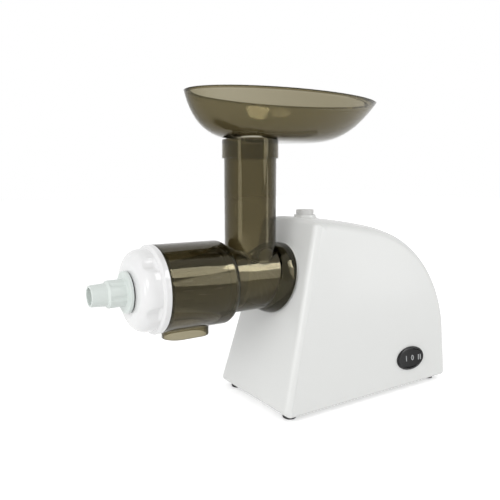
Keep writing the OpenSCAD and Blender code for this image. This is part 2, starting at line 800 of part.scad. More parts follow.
module gearbox_cover() color("lightgray") place() difference() {
    union() {
        along_x(box_x) linear_extrude(cover_t) {
            box_outline(case_wall);
            for (p = LUGS) translate(p) circle(r = lug_r);
        }
        rod(cover_x, box_x + press, boss_r);
        rod(box_x - bush_l + cover_t, box_x, bush_r + case_wall);
    }
    difference() {
        rod(cover_x - over, box_x, spigot_r + fit);
        rod(box_x - bush_l + cover_t - press, box_x + over, bush_r + case_wall);
    }
    rod(box_x - bush_l, box_x + cover_t + over, bush_r + press);
    for (p = [pin_a, pin_b]) rod(box_x - over, box_x + cover_t + over, pin_r + press, p);
    for (p = LUGS) rod(box_x - over, box_x + cover_t + over, lug_screw_r + press, p);
}
bush_wall = 3;
bush_r = spindle_r + bush_wall;
bush_l = 8;

module gearbox_case() color("darkgray") place() difference() {
    union() {
        along_x(box_x + cover_t) linear_extrude(case_back - box_x - cover_t) box_outline(case_wall);
        for (p = LUGS) rod(box_x + cover_t, box_x + cover_t + lug_l, lug_r, p);
    }
    along_x(box_x + cover_t - over) linear_extrude(box_back - box_x - cover_t + over) box_outline(0);
    rod(box_back - over, case_back + over, bush_r + press);
    for (p = [pin_a, pin_b]) rod(box_back - over, case_back + over, pin_r + press, p);
    rod(box_back - over, case_back + over, shaft_r + 2 * fit, motor_c);
    for (p = LUGS) rod(box_x, box_x + cover_t + lug_l - case_wall, lug_screw_r + press, p);
    for (s = [-1, 1]) rod(box_back - over, case_back + over, bolt_r + press, motor_c + s * [0, bolt_out]);
}
lug_l = 14;
bolt_r = 1.5;
bolt_out = (yoke_r + stator_out) / 2;

module gearbox_screws() color("silver") place() for (p = LUGS) {
    rod(box_x - lug_head_t, box_x - press, lug_screw_r * head_share, p);
    rod(box_x - press, box_x + lug_l, lug_screw_r, p);
}
lug_head_t = 2;

module gear_pins() color("silver") place()
    for (p = [pin_a, pin_b]) rod(box_x + press, case_back - press, pin_r, p);

module spindle_bushes() color("peru") place() {
    pipe(box_x - bush_l + cover_t, box_x + cover_t, bush_r, spindle_r + slip);
    pipe(case_back - bush_l / 2, case_back, bush_r, spindle_r + slip);
}

module output_spindle() color("silver") place() difference() {
    union() {
        rod(drive_front + drive_l, case_back, spindle_r);
        rod(drive_front, box_x - bush_l + cover_t - fit, drive_cup_r);
    }
    along_x(drive_front - over) cylinder(h = drive_l + over, r = hex_r + fit, $fn = 6);
}
drive_lip = 1;
drive_cup_r = bush_r + drive_lip;

module output_gear() color("darkslategray") place() {
    gear(layer_3, face_3, teeth_3, m_3, turn_3, [0, 0], spindle_r + press);
}

module idler_gear_high() color("ivory") place() {
    gear(layer_2, face_2, teeth_2, m_2, turn_b2, pin_b, pin_r + slip);
    gear(layer_3 - over, face_3 + layer_gap + over, teeth_3p, m_3, turn_b, pin_b, pin_r + slip);
}

module idler_gear_low() color("ivory") place() {
    gear(layer_1, face_1, teeth_1, m_1, turn_a, pin_a, pin_r + slip);
    gear(layer_2 - over, face_2 + layer_gap + over, teeth_2p, m_2, turn_a2, pin_a, pin_r + slip);
}

module motor_pinion() color("silver") place() {
    gear(layer_1, face_1, teeth_1p, m_1, turn_m, motor_c, shaft_r + press);
}

module motor_brackets() color("gainsboro") place() {
    for (x = [case_back, tail_x]) difference() {
        union() {
            along_x(x, motor_c) linear_extrude(cover_t) intersection() {
                circle(r = stator_out);
                square(2 * stator_out * [1, bracket_share], center = true);
            }
            rod(x, x + bearing_t + cover_t / 2, bearing_r + cover_t, motor_c);
        }
        rod(x + cover_t / 2, x + bearing_t + cover_t, bearing_r + press, motor_c);
        rod(x - over, x + bearing_t, shaft_r + 2 * fit, motor_c);
        for (s = [-1, 1]) rod(x - over, x + cover_t + over, bolt_r + press, motor_c + s * [0, bolt_out]);
    }
}
bracket_share = 0.9;

module motor_bolts() color("silver") place() for (s = [-1, 1]) {
    rod(case_back - over, tail_x + cover_t, bolt_r, motor_c + s * [0, bolt_out]);
    rod(tail_x + cover_t, tail_x + cover_t + bolt_r, bolt_r * 2, motor_c + s * [0, bolt_out]);
}

module motor_bearings() color("silver") place()
    for (x = [case_back, tail_x]) pipe(x + cover_t / 2 + press, x + cover_t / 2 + bearing_t, bearing_r,
        shaft_r + slip, motor_c);

module motor_stator() color("slategray") place() along_x(stator_x, motor_c) linear_extrude(stator_l)
    difference() {
        circle(r = stator_out);
        circle(r = pole_r);
        for (t = [0, 180]) rotate(t) intersection() {
            circle(r = yoke_r);
            polygon(stator_out * [[0, 0], [1, -1 / tan(pole_half)], [1, 1 / tan(pole_half)]]);
        }
        for (s = [-1, 1]) translate([0, s * bolt_out]) circle(r = bolt_r + press);
    }
pole_half = 50;
coil_in = 51;
coil_half = 66;

module field_coils() color("peru") place() for (t = [0, 180]) difference() {
    along_x(stator_x - coil_out, motor_c) rotate(t + 90 - coil_half) rotate_extrude(angle = 2 * coil_half)
        translate([pole_r + fit, 0]) square([yoke_r - pole_r - 2 * fit, stator_l + 2 * coil_out]);
    along_x(stator_x - press, motor_c) rotate(t + 90 - coil_in) rotate_extrude(angle = 2 * coil_in)
        translate([pole_r - over, 0]) square([yoke_r - pole_r + 2 * over, stator_l + 2 * press]);
}

module rotor_shaft() color("silver") place() rod(layer_1, tail_x + cover_t + bearing_t, shaft_r, motor_c);

module rotor_core() color("dimgray") place() pipe(stator_x, stator_back, rotor_out, shaft_r + press, motor_c);

module rotor_windings() color("peru") place() {
    pipe(stator_x - coil_out, stator_x, rotor_out * winding_share, shaft_r + press, motor_c);
    pipe(stator_back, stator_back + coil_out, rotor_out * winding_share, shaft_r + press, motor_c);
}
winding_share = 0.85;

module commutator() color("peru") place() pipe(comm_x, comm_x + comm_l, comm_r, shaft_r + press, motor_c);

fan_n = 9;
blade_t = 1.6;
fan_hub_r = 7.2;
blade_gap = 0.7;
module cooling_fan() color("darkslategray") place() {
    pipe(fan_x, fan_x + blade_t, fan_out, shaft_r + press, motor_c);
    pipe(fan_x, fan_x + fan_t, fan_hub_r, shaft_r + press, motor_c);
    for (i = [0:fan_n - 1]) along_x(fan_x, motor_c) rotate(i * 360 / fan_n)
        translate([fan_hub_r - blade_gap, -blade_t / 2, 0]) cube([fan_out - fan_hub_r, blade_t, fan_t]);
}

brush_w = 6;
brush_l = 14;
holder_wall = 1;
// Beside the middle of the commutator
module at_comm(y) {
    translate([comm_x + comm_l / 2, motor_c[0] + y, axis_z + motor_c[1]]) children();
}

module brush_holders() color("goldenrod") place() for (s = [-1, 1])
    at_comm(s * (comm_r + brush_l / 2 + over)) difference() {
        union() {
            cube([brush_w + 2 * holder_wall, brush_l, brush_w + 2 * holder_wall], center = true);
            translate(brush_w / 2 * [1, -1, -1])
                cube([tail_x - comm_x - comm_l / 2 - brush_w / 2, brush_w, brush_w]);
        }
        cube([brush_w + 2 * press, brush_l + 2 * over, brush_w + 2 * press], center = true);
    }

module carbon_brushes() color("dimgray") place() for (s = [-1, 1])
    at_comm(s * (comm_r + brush_l / 2)) difference() {
        cube([brush_w, brush_l, brush_w], center = true);
        translate([-over - brush_w, -s * (comm_r + brush_l / 2), 0]) rotate([0, 90, 0])
            cylinder(h = 2 * (brush_w + over), r = comm_r + fit);
    }

module suppressor_capacitor() color("gold") place()
    translate([cap_x, -cap_y, foot_h + base_t]) cube([cap_w, cap_l, cap_h]);
cap_x = layer_1 + face_1;
cap_y = 29;
cap_l = 18;
cap_w = 11;
cap_h = 15;

module terminal_block() color("white") place()
    translate([block_x, block_y, foot_h + base_t]) difference() {
        cube([block_l, block_w, block_h]);
        for (i = [0:2]) translate([block_l * (2 * i + 1) / 6, -over, block_hole_z]) rotate([-90, 0, 0])
            cylinder(h = block_w + 2 * over, r = block_hole_r);
    }
block_l = 28;
block_w = 16;
block_h = 12;
block_hole_z = 5;
block_hole_r = 1.8;
block_gap = 6;
block_x = tail_x - block_l;
block_y = vent_l / 2 + block_gap;

// Oval of the spout, grown by g
module spout_plan(g) {
    translate([-juice_back - juice_l * spout_share, 0]) oval(spout_l + 2 * g, spout_w + 2 * g);
}
spout_share = 0.567;
spout_reach = 8;
neck_front = nut_back + neck_l;

module press_head() color("#4a4634") place() {
    difference() {
        union() {
            difference() {
                union() {
                    rod(-juice_back - juice_wall, mate_x + barrel_r, barrel_r);
                    bell();
                }
                lean_slab(mate_x - fit, mate_x + barrel_r * 2);
            }
            // Juice housing with a rounded shoulder
            turned(concat([[-nut_back, 0]], [[-nut_back, juice_r]],
                arc([-juice_back - shoulder_r, juice_r - shoulder_r], shoulder_r, 90, 0, 6),
                [[-juice_back, 0]]));
            rod(-neck_front, -nut_back + over, neck_r);
            translate([0, 0, axis_z]) cylinder(h = tube_h, r = tube_r);
            translate([0, 0, axis_z - spout_h]) linear_extrude(spout_h) spout_plan(0);
            rod(mate_x - bell_l, spigot_back, spigot_r);
        }
        rod(-juice_back - juice_wall - over, head_wall_x, barrel_in);
        rod(head_wall_x + head_wall_t, spigot_back + over, spigot_r - spigot_wall);
        rod(head_wall_x - over, head_wall_x + head_wall_t + over, drive_r + seal_w);
        rod(-nut_back + juice_wall, -juice_back - juice_wall, juice_r - juice_wall);
        rod(-neck_front - over, -nut_back + juice_wall + over, neck_r - neck_wall);
        translate([0, 0, axis_z]) cylinder(h = tube_h + over, r = tube_r - tube_wall);
        translate([0, 0, axis_z - spout_h - over])
            linear_extrude(spout_h + over - juice_r + juice_wall + spout_reach) spout_plan(-spout_wall);
        pipe(latch_x - latch_gap, cover_x, spigot_r + over, spigot_r - groove_d);
    }
}
seal_w = 3;

// Flared bell whose rim leans like the front face
module bell() {
    translate([mate_x - tan(lean) * bell_drop, 0, axis_z - bell_drop]) rotate([0, lean, 0]) rotate([90, 0, 90])
        translate([0, 0, -bell_l]) rotate_extrude() polygon(concat(
            [[0, 0], [barrel_r - barrel_wall, 0]],
            arc([barrel_r + bell_flare, 0], bell_flare, 180, 90, 5),
            arc([bell_r - bell_flare, bell_l - bell_flare - bell_edge], bell_flare, 60, 0, 4),
            [[bell_r, bell_l], [0, bell_l]]
        ));
}
bell_flare = 2.4;
bell_edge = 1;

module head_seal() color("whitesmoke") place()
    pipe(head_wall_x, head_wall_x + head_wall_t, drive_r + seal_w - press, drive_r + slip);

// Radius of the auger's flight at a place along the axis
function flight_at(x) =
    x > -sieve_back ? barrel_in - flight_gap
    : sieve_in(x) - flight_gap;
// Inner radius of the sieve's cone
function sieve_in(x) =
    let (t = max(0, min(1, (-x - sieve_back) / sieve_l)))
    barrel_in + (sieve_front_r - barrel_in) * t;
FIN_SHARES = [0, 0.06, 0.12, 0.18, 0.26, 0.4, 0.55, 0.7, 0.85];
FIN_RISES = [1, 1, 1, 0.12, 0.02, 0, 0, 0, 0.02];
auger_steps = 64;
// Core radius: plain in the barrel, thicker towards the front
function core_at(x) = min(flight_at(x) * core_share, core_r + max(0, -x) * core_taper);
core_share = 0.72;
core_taper = 0.02;

module auger_screw() color("ivory") place() difference() {
    auger_form();
    rod(auger_back - auger_bore, auger_back + over, rod_r + press);
}
rod_r = 6;
auger_bore = 60;

module auger_form() {
    n = len(FIN_SHARES);
    l = auger_back + auger_front;
    translate([0, 0, axis_z]) polyhedron(
        points = [for (k = [0:auger_steps]) for (i = [0:n - 1])
            let (
                x = auger_back - l * k / auger_steps,
                a = (FIN_SHARES[i] + l * k / auger_steps / flight_pitch) * 360,
                r = core_at(x) + (flight_at(x) - core_at(x)) * FIN_RISES[i]
            )
            [x, r * cos(a), r * sin(a)]],
        faces = concat(
            [[for (i = [0:n - 1]) i]],
            [[for (i = [n - 1:-1:0]) auger_steps * n + i]],
            [for (k = [0:auger_steps - 1]) for (i = [0:n - 1])
                [k * n + i, (k + 1) * n + i, k * n + (i + 1) % n]],
            [for (k = [0:auger_steps - 1]) for (i = [0:n - 1])
                [(k + 1) * n + i, (k + 1) * n + (i + 1) % n, k * n + (i + 1) % n]]
        )
    );
}

module auger_shaft() color("silver") place() {
    rod(auger_back - auger_bore + fit, auger_back, rod_r);
    rod(auger_back, drive_front - fit, drive_r);
    along_x(drive_front - fit) cylinder(h = drive_l - fit, r = hex_r, $fn = 6);
}

sieve_rows = 5;
sieve_slits = 18;
slit_w = 1;
sieve_ring = 5;
ring_share = 2.5;
slit_share = 0.7;
module sieve_cone() color("silver") place() difference() {
    turned([
        [-sieve_back, barrel_in], [-sieve_back, barrel_in + ring_share * sieve_wall],
        [-sieve_back - sieve_ring, barrel_in + ring_share * sieve_wall],
        [-sieve_back - sieve_ring, sieve_in(-sieve_back - sieve_ring) + sieve_wall],
        [-sieve_back - sieve_l + sieve_ring, sieve_in(-sieve_back - sieve_l + sieve_ring) + sieve_wall],
        [-sieve_back - sieve_l + sieve_ring, sieve_front_r + ring_share * sieve_wall],
        [-sieve_back - sieve_l, sieve_front_r + ring_share * sieve_wall], [-sieve_back - sieve_l, sieve_front_r]
    ]);
    slit_l = (sieve_l - 4 * sieve_ring) / sieve_rows;
    for (row = [0:sieve_rows - 1]) for (i = [0:sieve_slits - 1])
        along_x(-sieve_back - 2 * sieve_ring - (row + 1) * slit_l) rotate((i + row / 2) * 360 / sieve_slits)
            translate([sieve_front_r / 2, -slit_w / 2, slit_l * (1 - slit_share) / 2])
                cube([barrel_in, slit_w, slit_l * slit_share]);
}

nut_in = neck_r + fit;
module nut_seal() color("dimgray") place()
    pipe(-neck_front - nut_seal_gap - seal_t, -neck_front - nut_seal_gap, neck_r, neck_r - neck_wall);
nut_seal_gap = 0.15;
nut_step = neck_front + 2 * nut_seal_gap + seal_t;

module ring_nut() color("white") place() difference() {
    turned(concat(
        [[-nut_back - fit, nut_in], [-nut_back - fit, nut_r]],
        [[-nut_back - nut_band + band_bevel, nut_r], [-nut_back - nut_band, nut_r - band_bevel]],
        [[-nut_back - nut_band - band_fall, grip_r + band_fall]],
        [[-nut_back - nut_band - 2 * band_fall, grip_r]],
        arc([-nut_front + dome_r, grip_r - dome_r], dome_r, 90, 170, 8),
        [[-nut_front, nut_face_r], [-nut_front, stem_r + fit]],
        [[-nut_front + nut_wall, stem_r + fit], [-nut_front + nut_wall, nut_step_r - nut_wall]],
        [[-nut_front + 2 * nut_wall, nut_step_r], [-nut_step, nut_step_r], [-nut_step, nut_in]]
    ));
    for (i = [0:grip_n - 1]) along_x(-nut_front - over) rotate(grip_turn + i * 360 / grip_n)
        translate([grip_r + recess_r - recess_d, 0, 0])
            cylinder(h = nut_front - nut_step, r = recess_r);
}
dome_r = 12;
band_bevel = 1.2;
band_fall = 0.8;
grip_turn = -155;
nut_step_r = neck_r - neck_wall;

module nozzle_ring() color("black") place()
    pipe(-nut_front - fit / 2 - seal_t, -nut_front - fit / 2, stem_r + fit + nozzle_ring_w, stem_r + fit / 2);
nozzle_ring_w = 1.6;

module pulp_nozzle() color("honeydew") place() difference() {
    union() {
        turned([
            [-nozzle_back + stem_l, 0], [-nozzle_back + stem_l, stem_r], [-nozzle_back, stem_r],
            [-nozzle_back, flange_r - flange_bevel], [-nozzle_back - flange_bevel, flange_r],
            [-nozzle_back - flange_t + flange_bevel, flange_r],
            [-nozzle_back - flange_t, flange_r - flange_bevel],
            [-nozzle_back - flange_t, flute_r], [-nozzle_back - flange_t - flute_l + flute_fall, flute_r],
            [-nozzle_back - flange_t - flute_l, tip_r + tip_draft], [-tip_x, tip_r], [-tip_x, 0]
        ]);
    }
    rod(-tip_x - over, -nozzle_back - flange_t, bore_r);
    turned([
        [-nozzle_back - flange_t - press, 0], [-nozzle_back - flange_t - press, bore_r],
        [-nozzle_back + stem_l + over, stem_r - stem_wall], [-nozzle_back + stem_l + over, 0]
    ]);
    for (i = [0:flute_n - 1]) along_x(-nozzle_back - flange_t - flute_l + flute_run)
        rotate(flute_turn + i * 360 / flute_n) translate([flute_r + flute_cut_r - flute_d, 0, 0])
            cylinder(h = flute_l - flute_run - press, r = flute_cut_r);
}
flange_bevel = 0.9;
flute_fall = 2;
tip_draft = 0.7;
stem_wall = 2.5;
flute_run = 3;
flute_turn = 190;
flute_d = 1;
flute_cut_r = 4;

DISH_RINGS = [0.3, 0.45, 0.58, 0.68, 0.76, 0.83, 0.88, 0.92, 0.95, 0.975, 1];
dish_sides = 56;
// One point of the dish: ring share, turn, and how far it is drawn in
function dish_at(share, turn, inset) =
    let (drop = 1 - pow(share, dish_share))
    [tray_x - tray_shift * drop + (tray_l / 2 - inset) * share * cos(turn),
     (tray_w / 2 - inset) * share * sin(turn),
     rim_z - (tray_h - inset) * drop];

// The dish as a closed form, drawn in by inset and raised at its rim by lift
module dish_form(inset, lift) {
    n = dish_sides;
    rings = len(DISH_RINGS);
    middle = dish_at(0, 0, inset);
    polyhedron(
        points = concat(
            [middle],
            [for (s = DISH_RINGS) for (i = [0:n - 1]) dish_at(s, i * 360 / n, inset)],
            [for (i = [0:n - 1]) dish_at(1, i * 360 / n, inset) + [0, 0, lift]]
        ),
        faces = concat(
            [for (i = [0:n - 1]) [0, 1 + i, 1 + (i + 1) % n]],
            [for (k = [0:rings - 1]) for (i = [0:n - 1])
                [1 + k * n + i, 1 + (k + 1) * n + i, 1 + k * n + (i + 1) % n]],
            [for (k = [0:rings - 1]) for (i = [0:n - 1])
                [1 + (k + 1) * n + i, 1 + (k + 1) * n + (i + 1) % n, 1 + k * n + (i + 1) % n]],
            [[for (i = [n - 1:-1:0]) 1 + rings * n + i]]
        )
    );
}

module hopper_tray() color("#8a8570") place() difference() {
    union() {
        difference() {
            dish_form(0, tray_wall / 4);
            dish_form(tray_wall, over);
        }
        translate([0, 0, dish_z - collar_h]) cylinder(h = collar_h + tray_wall / 2, r = collar_r);
    }
    translate([0, 0, dish_z - collar_h - over]) cylinder(h = collar_h + over - collar_seat, r = tube_r + fit);
    translate([0, 0, dish_z - collar_h]) cylinder(h = tray_h + collar_h, r = tube_r - tube_wall);
}
collar_seat = dish_z - tube_top - fit;

housing_shell();
base_plate();
rubber_feet();
base_screws();
cord_gland();
release_button();
button_spring();
latch_plate();
switch_bezel();
switch_rocker();
switch_body();
gearbox_cover();
gearbox_case();
gearbox_screws();
gear_pins();
spindle_bushes();
output_spindle();
output_gear();
idler_gear_low();
idler_gear_high();
motor_pinion();
motor_brackets();
motor_bolts();
motor_bearings();
motor_stator();
field_coils();
rotor_shaft();
rotor_core();
rotor_windings();
commutator();
cooling_fan();
brush_holders();
carbon_brushes();
suppressor_capacitor();
terminal_block();
press_head();
head_seal();
auger_screw();
auger_shaft();
sieve_cone();
nut_seal();
ring_nut();
nozzle_ring();
pulp_nozzle();
hopper_tray();
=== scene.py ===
import json
from math import atan2, cos, hypot, pi, radians, sin, sqrt, tan

import bmesh
import bpy
from mathutils import Matrix, Vector


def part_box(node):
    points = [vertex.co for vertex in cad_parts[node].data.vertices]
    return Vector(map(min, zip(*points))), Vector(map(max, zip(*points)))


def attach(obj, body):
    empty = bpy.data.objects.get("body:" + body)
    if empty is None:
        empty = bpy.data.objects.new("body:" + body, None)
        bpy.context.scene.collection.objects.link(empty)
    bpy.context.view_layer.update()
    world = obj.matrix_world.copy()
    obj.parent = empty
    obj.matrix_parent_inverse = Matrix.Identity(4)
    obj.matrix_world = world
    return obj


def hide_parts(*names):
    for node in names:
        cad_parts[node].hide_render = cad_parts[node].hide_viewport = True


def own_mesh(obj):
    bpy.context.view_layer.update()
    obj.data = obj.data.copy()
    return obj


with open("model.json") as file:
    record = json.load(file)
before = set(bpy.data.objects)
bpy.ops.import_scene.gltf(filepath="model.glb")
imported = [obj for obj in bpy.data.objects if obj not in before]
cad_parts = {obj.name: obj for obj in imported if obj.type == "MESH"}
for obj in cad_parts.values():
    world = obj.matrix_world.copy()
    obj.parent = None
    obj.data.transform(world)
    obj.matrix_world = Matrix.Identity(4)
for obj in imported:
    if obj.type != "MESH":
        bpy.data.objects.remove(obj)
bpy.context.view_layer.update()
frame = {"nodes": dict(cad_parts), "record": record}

# Drawn in millimetres from the floor under the feed tube, and moved to the frame in metres at the end
midX = 35.1  # the frame's middle
axisZ = 134  # height of the press axis
fit = 0.3  # gap between pieces that move or come apart
press = 0.02  # gap of a pressed seat
mergeGap = 0.001  # points nearer than this become one
tinyEdge = 0.0005  # edges shorter than this go
toFrame = Matrix.Scale(0.001, 4) @ Matrix.Translation((-midX, 0, 0))
# Lays a shape that stands along Z on the press axis, its height towards the body
alongX = Matrix(((0, 0, 1, 0), (1, 0, 0, 0), (0, 1, 0, axisZ), (0, 0, 0, 1)))
scene = bpy.context.scene


# The linear value of an sRGB hex colour
def linear(code):
    parts = [int(code[i:i + 2], 16) / 255 for i in (1, 3, 5)]
    return [p / 12.92 if p <= 0.04045 else ((p + 0.055) / 1.055) ** 2.4 for p in parts] + [1]


# A shader node with its settings; an input is a value, or the socket that feeds it
def addNode(tree, kind, inputs=None, **settings):
    node = tree.nodes.new("ShaderNode" + kind)
    for key, value in settings.items():
        setattr(node, key, value)
    for key, value in (inputs or {}).items():
        if isinstance(value, bpy.types.NodeSocket):
            tree.links.new(value, node.inputs[key])
        else:
            node.inputs[key].default_value = value
    return node


# A finish: the size and depth of its grain in mm, and a slow change of tone and gloss, cloud mm wide.
# Grains of a few hundredths of a millimetre are drawn up to ten times as coarse, so that they show.
def makeSurface(name, colour, rough, grain=0.5, depth=0.01, tone=0.03, cloud=45, smear=0.04,
                stretch=(1, 1, 1), detail=3, **sockets):
    made = bpy.data.materials.new(name)
    made.use_nodes = True
    tree = made.node_tree
    shader = tree.nodes["Principled BSDF"]
    coords = addNode(tree, "TexCoord")
    place = addNode(tree, "Mapping", {"Vector": coords.outputs["Object"], "Scale": stretch})
    where = place.outputs[0]
    fine = addNode(tree, "TexNoise", {"Vector": where, "Scale": 1000 / grain, "Detail": detail})
    if tone or smear:
        broad = addNode(tree, "TexNoise", {"Vector": where, "Scale": 1000 / cloud, "Detail": 2})
    base = linear(colour)
    if tone:
        dark = [c * (1 - tone) for c in base[:3]] + [1]
        light = [min(1, c * (1 + tone)) for c in base[:3]] + [1]
        mix = addNode(tree, "Mix", {0: broad.outputs["Fac"]}, data_type="RGBA")
        mix.inputs[6].default_value, mix.inputs[7].default_value = dark, light
        tree.links.new(mix.outputs[2], shader.inputs["Base Color"])
    else:
        shader.inputs["Base Color"].default_value = base
    if smear:
        gloss = addNode(tree, "MapRange", {
            "Value": broad.outputs["Fac"], "From Min": 0.15, "From Max": 0.85,
            "To Min": max(0, rough - smear), "To Max": rough + smear})
        tree.links.new(gloss.outputs[0], shader.inputs["Roughness"])
    else:
        shader.inputs["Roughness"].default_value = rough
    bump = addNode(tree, "Bump", {"Height": fine.outputs["Fac"], "Distance": depth / 1000,
                                  "Strength": 0.6})
    tree.links.new(bump.outputs[0], shader.inputs["Normal"])
    for key, value in sockets.items():
        shader.inputs[key.replace("_", " ")].default_value = value
    return made


# Glossy moulded ABS of the body: clean white with a faint orange-peel skin and an even gloss
mouldedAbsWhite = makeSurface("mouldedAbsWhite", "#EBECEA", 0.27, grain=1.4, depth=0.004, tone=0,
                              smear=0, Coat_Weight=0.15, Coat_Roughness=0.1)
# The button's ABS: a shade greyer than the body
mouldedAbsGrey = makeSurface("mouldedAbsGrey", "#DCDCDA", 0.3, grain=1, depth=0.005, tone=0.015,
                             cloud=12)
# The nut's ABS: the whitest and glossiest piece
polishedAbsWhite = makeSurface("polishedAbsWhite", "#ECECEC", 0.16, grain=1.8, depth=0.003, tone=0.006,
                               cloud=40, smear=0.03, Coat_Weight=0.5, Coat_Roughness=0.04)
# The nozzle's polypropylene: greenish white and a little waxy
waxyPolypropylene = makeSurface("waxyPolypropylene", "#DBE2DE", 0.34, grain=0.9, depth=0.006, tone=0.015,
                                cloud=18)
# Moulded smoked SAN of the head and the tray: clear, its grey olive deepening with the thickness, and
# its skin slowly wavy from the mould
smokedSan = makeSurface("smokedSan", "#FFFFFF", 0.035, grain=26, depth=0.06, tone=0, cloud=60,
                        smear=0.015, detail=0, Transmission_Weight=1, IOR=1.5,
                        Specular_Tint=linear("#FFF3C8"))
smokeValues = dict(tint="#ADA378", density=960)
tree = smokedSan.node_tree
smoke = addNode(tree, "VolumeAbsorption", {"Color": linear(smokeValues["tint"]),
                                           "Density": smokeValues["density"]})
tree.links.new(smoke.outputs[0], tree.nodes["Material Output"].inputs["Volume"])
# Glossy black ABS of the switch
glossyBlackAbs = makeSurface("glossyBlackAbs", "#0D0D0E", 0.22, grain=0.9, depth=0.004, tone=0.1,
                             cloud=14, smear=0.05, IOR=1.38)
# Printed grey of the switch marks
markPaint = makeSurface("markPaint", "#A9ABAC", 0.5, grain=0.3, depth=0.004, tone=0.05, cloud=3)
# Moulded rubber of the feet: black, dull, with a fine grain
mouldedRubber = makeSurface("mouldedRubber", "#1C1C1C", 0.7, grain=0.35, depth=0.03, tone=0.15, cloud=8)

# The inner pieces keep their CAD meshes and get the finish of their slot
slotSurfaces = {
    "housing_white": mouldedAbsWhite,
    "foot_rubber": mouldedRubber,
    # Zinc-plated steel of screws and brackets: bright grey with slow clouds in its gloss
    "zinc_steel": makeSurface("zincPlatedSteel", "#B9BAB6", 0.32, grain=0.25, depth=0.006, tone=0.08,
                              cloud=3, smear=0.1, Metallic=1),
    # Drawn spring wire: smooth, a darker grey
    "spring_steel": makeSurface("drawnSpringSteel", "#9FA1A3", 0.28, grain=0.2, depth=0.005, tone=0.08,
                                cloud=2, stretch=(1, 1, 0.2), Metallic=1),
    # Moulded black polyamide: matt with a fine skin
    "gland_black": makeSurface("mouldedPolyamideBlack", "#202021", 0.5, grain=0.4, depth=0.02, tone=0.1),
    "switch_black": glossyBlackAbs,
    # Moulded grey polyamide of the switch box: matt
    "switch_grey": makeSurface("mouldedPolyamideGrey", "#55575A", 0.5, grain=0.4, depth=0.02, tone=0.08),
    # Moulded grey acetal of the gearbox: smooth and a little waxy
    "gearbox_grey": makeSurface("mouldedAcetalGrey", "#9C9E9F", 0.42, grain=0.5, depth=0.015, tone=0.05),
    # Ground steel of shafts and pins: clear highlights with fine lines along them
    "ground_steel": makeSurface("groundSteel", "#C4C5C6", 0.22, grain=0.15, depth=0.004, tone=0.06,
                                cloud=5, stretch=(0.15, 1, 1), smear=0.08, Metallic=1),
    # Sintered bronze of the bushes: brown yellow, dulled by fine pores
    "sinter_bronze": makeSurface("sinteredBronze", "#A9814E", 0.42, grain=0.2, depth=0.02, tone=0.12,
                                 cloud=2, Metallic=1),
    # Moulded black acetal: smooth, satin
    "gear_black": makeSurface("mouldedAcetalBlack", "#242628", 0.38, grain=0.5, depth=0.01, tone=0.1),
    # Moulded natural acetal of the idler gears: ivory, satin
    "gear_ivory": makeSurface("mouldedAcetalIvory", "#E3DCC6", 0.36, grain=0.5, depth=0.01, tone=0.04),
    # Stacked stamped iron sheets: dull grey with fine edges across the axis
    "lamination": makeSurface("laminatedIron", "#6B6E73", 0.5, grain=0.5, depth=0.05, tone=0.15, cloud=6,
                              stretch=(1, 0.03, 0.03), Metallic=0.7),
    # Wound enamelled copper wire: red brown gloss in fine ridges along the axis
    "magnet_wire": makeSurface("enamelledCopperWire", "#9A4F24", 0.3, grain=0.6, depth=0.12, tone=0.2,
                               cloud=4, stretch=(0.1, 1, 1), Metallic=0.8),
    # Turned copper of the commutator: bright, with fine turning lines round it
    "copper": makeSurface("turnedCopper", "#B8734A", 0.26, grain=0.2, depth=0.01, tone=0.1, cloud=3,
                          stretch=(1, 0.2, 0.2), Metallic=1),
    # Stamped brass of the brush holders: yellow, smooth, a little dull
    "holder_brass": makeSurface("stampedBrass", "#B99A55", 0.3, grain=0.3, depth=0.006, tone=0.08,
                                cloud=3, Metallic=1),
    # Pressed carbon of the brushes: near black and dull with a fine grit
    "carbon": makeSurface("pressedCarbon", "#2B2B2C", 0.6, grain=0.15, depth=0.015, tone=0.15, cloud=2),
    # Moulded case of the capacitor: warm yellow, satin
    "capacitor_yellow": makeSurface("pottedCapacitor", "#D9B12C", 0.4, grain=0.5, depth=0.02, tone=0.06),
    # Moulded natural polyamide of the terminals: off-white, matt
    "terminal_white": makeSurface("mouldedPolyamideWhite", "#D8D8D0", 0.5, grain=0.4, depth=0.015),
    "smoked_plastic": smokedSan,
    # Moulded silicone: off-white, soft and matt
    "seal_silicone": makeSurface("siliconeWhite", "#D9D9D4", 0.5, grain=0.4, depth=0.01, tone=0.03),
    # Moulded white acetal of the auger: smooth, satin
    "auger_white": makeSurface("mouldedAcetalWhite", "#E2E1DB", 0.36, grain=0.7, depth=0.01, tone=0.03),
    # Brushed stainless steel of the sieve: grey with fine lines along it
    "stainless": makeSurface("brushedStainless", "#A7A9AA", 0.42, grain=0.2, depth=0.008, tone=0.06,
                             cloud=6, stretch=(0.1, 1, 1), smear=0.08, Metallic=1),
    "nut_white": polishedAbsWhite,
    # Moulded nitrile rubber of the rings: black and dull
    "seal_black": makeSurface("nitrileBlack", "#161616", 0.55, grain=0.3, depth=0.01, tone=0.1, cloud=4),
    "nozzle_white": waxyPolypropylene,
}
for part in frame["record"]["subparts"]:
    node = frame["nodes"][part["node"]]
    node.data.materials.clear()
    node.data.materials.append(slotSurfaces[part["material_slot"]])
print("materials ready")


# A sheet of columns by rows faces whose point (i, k) lies at at(i, k); edges that meet are merged
def gridForm(columns, rows, at):
    form = bmesh.new()
    bmesh.ops.create_grid(form, x_segments=columns, y_segments=rows, size=1)
    for vert in form.verts:
        vert.co = at(round((vert.co.x + 1) / 2 * columns), round((vert.co.y + 1) / 2 * rows))
    return closed(form)


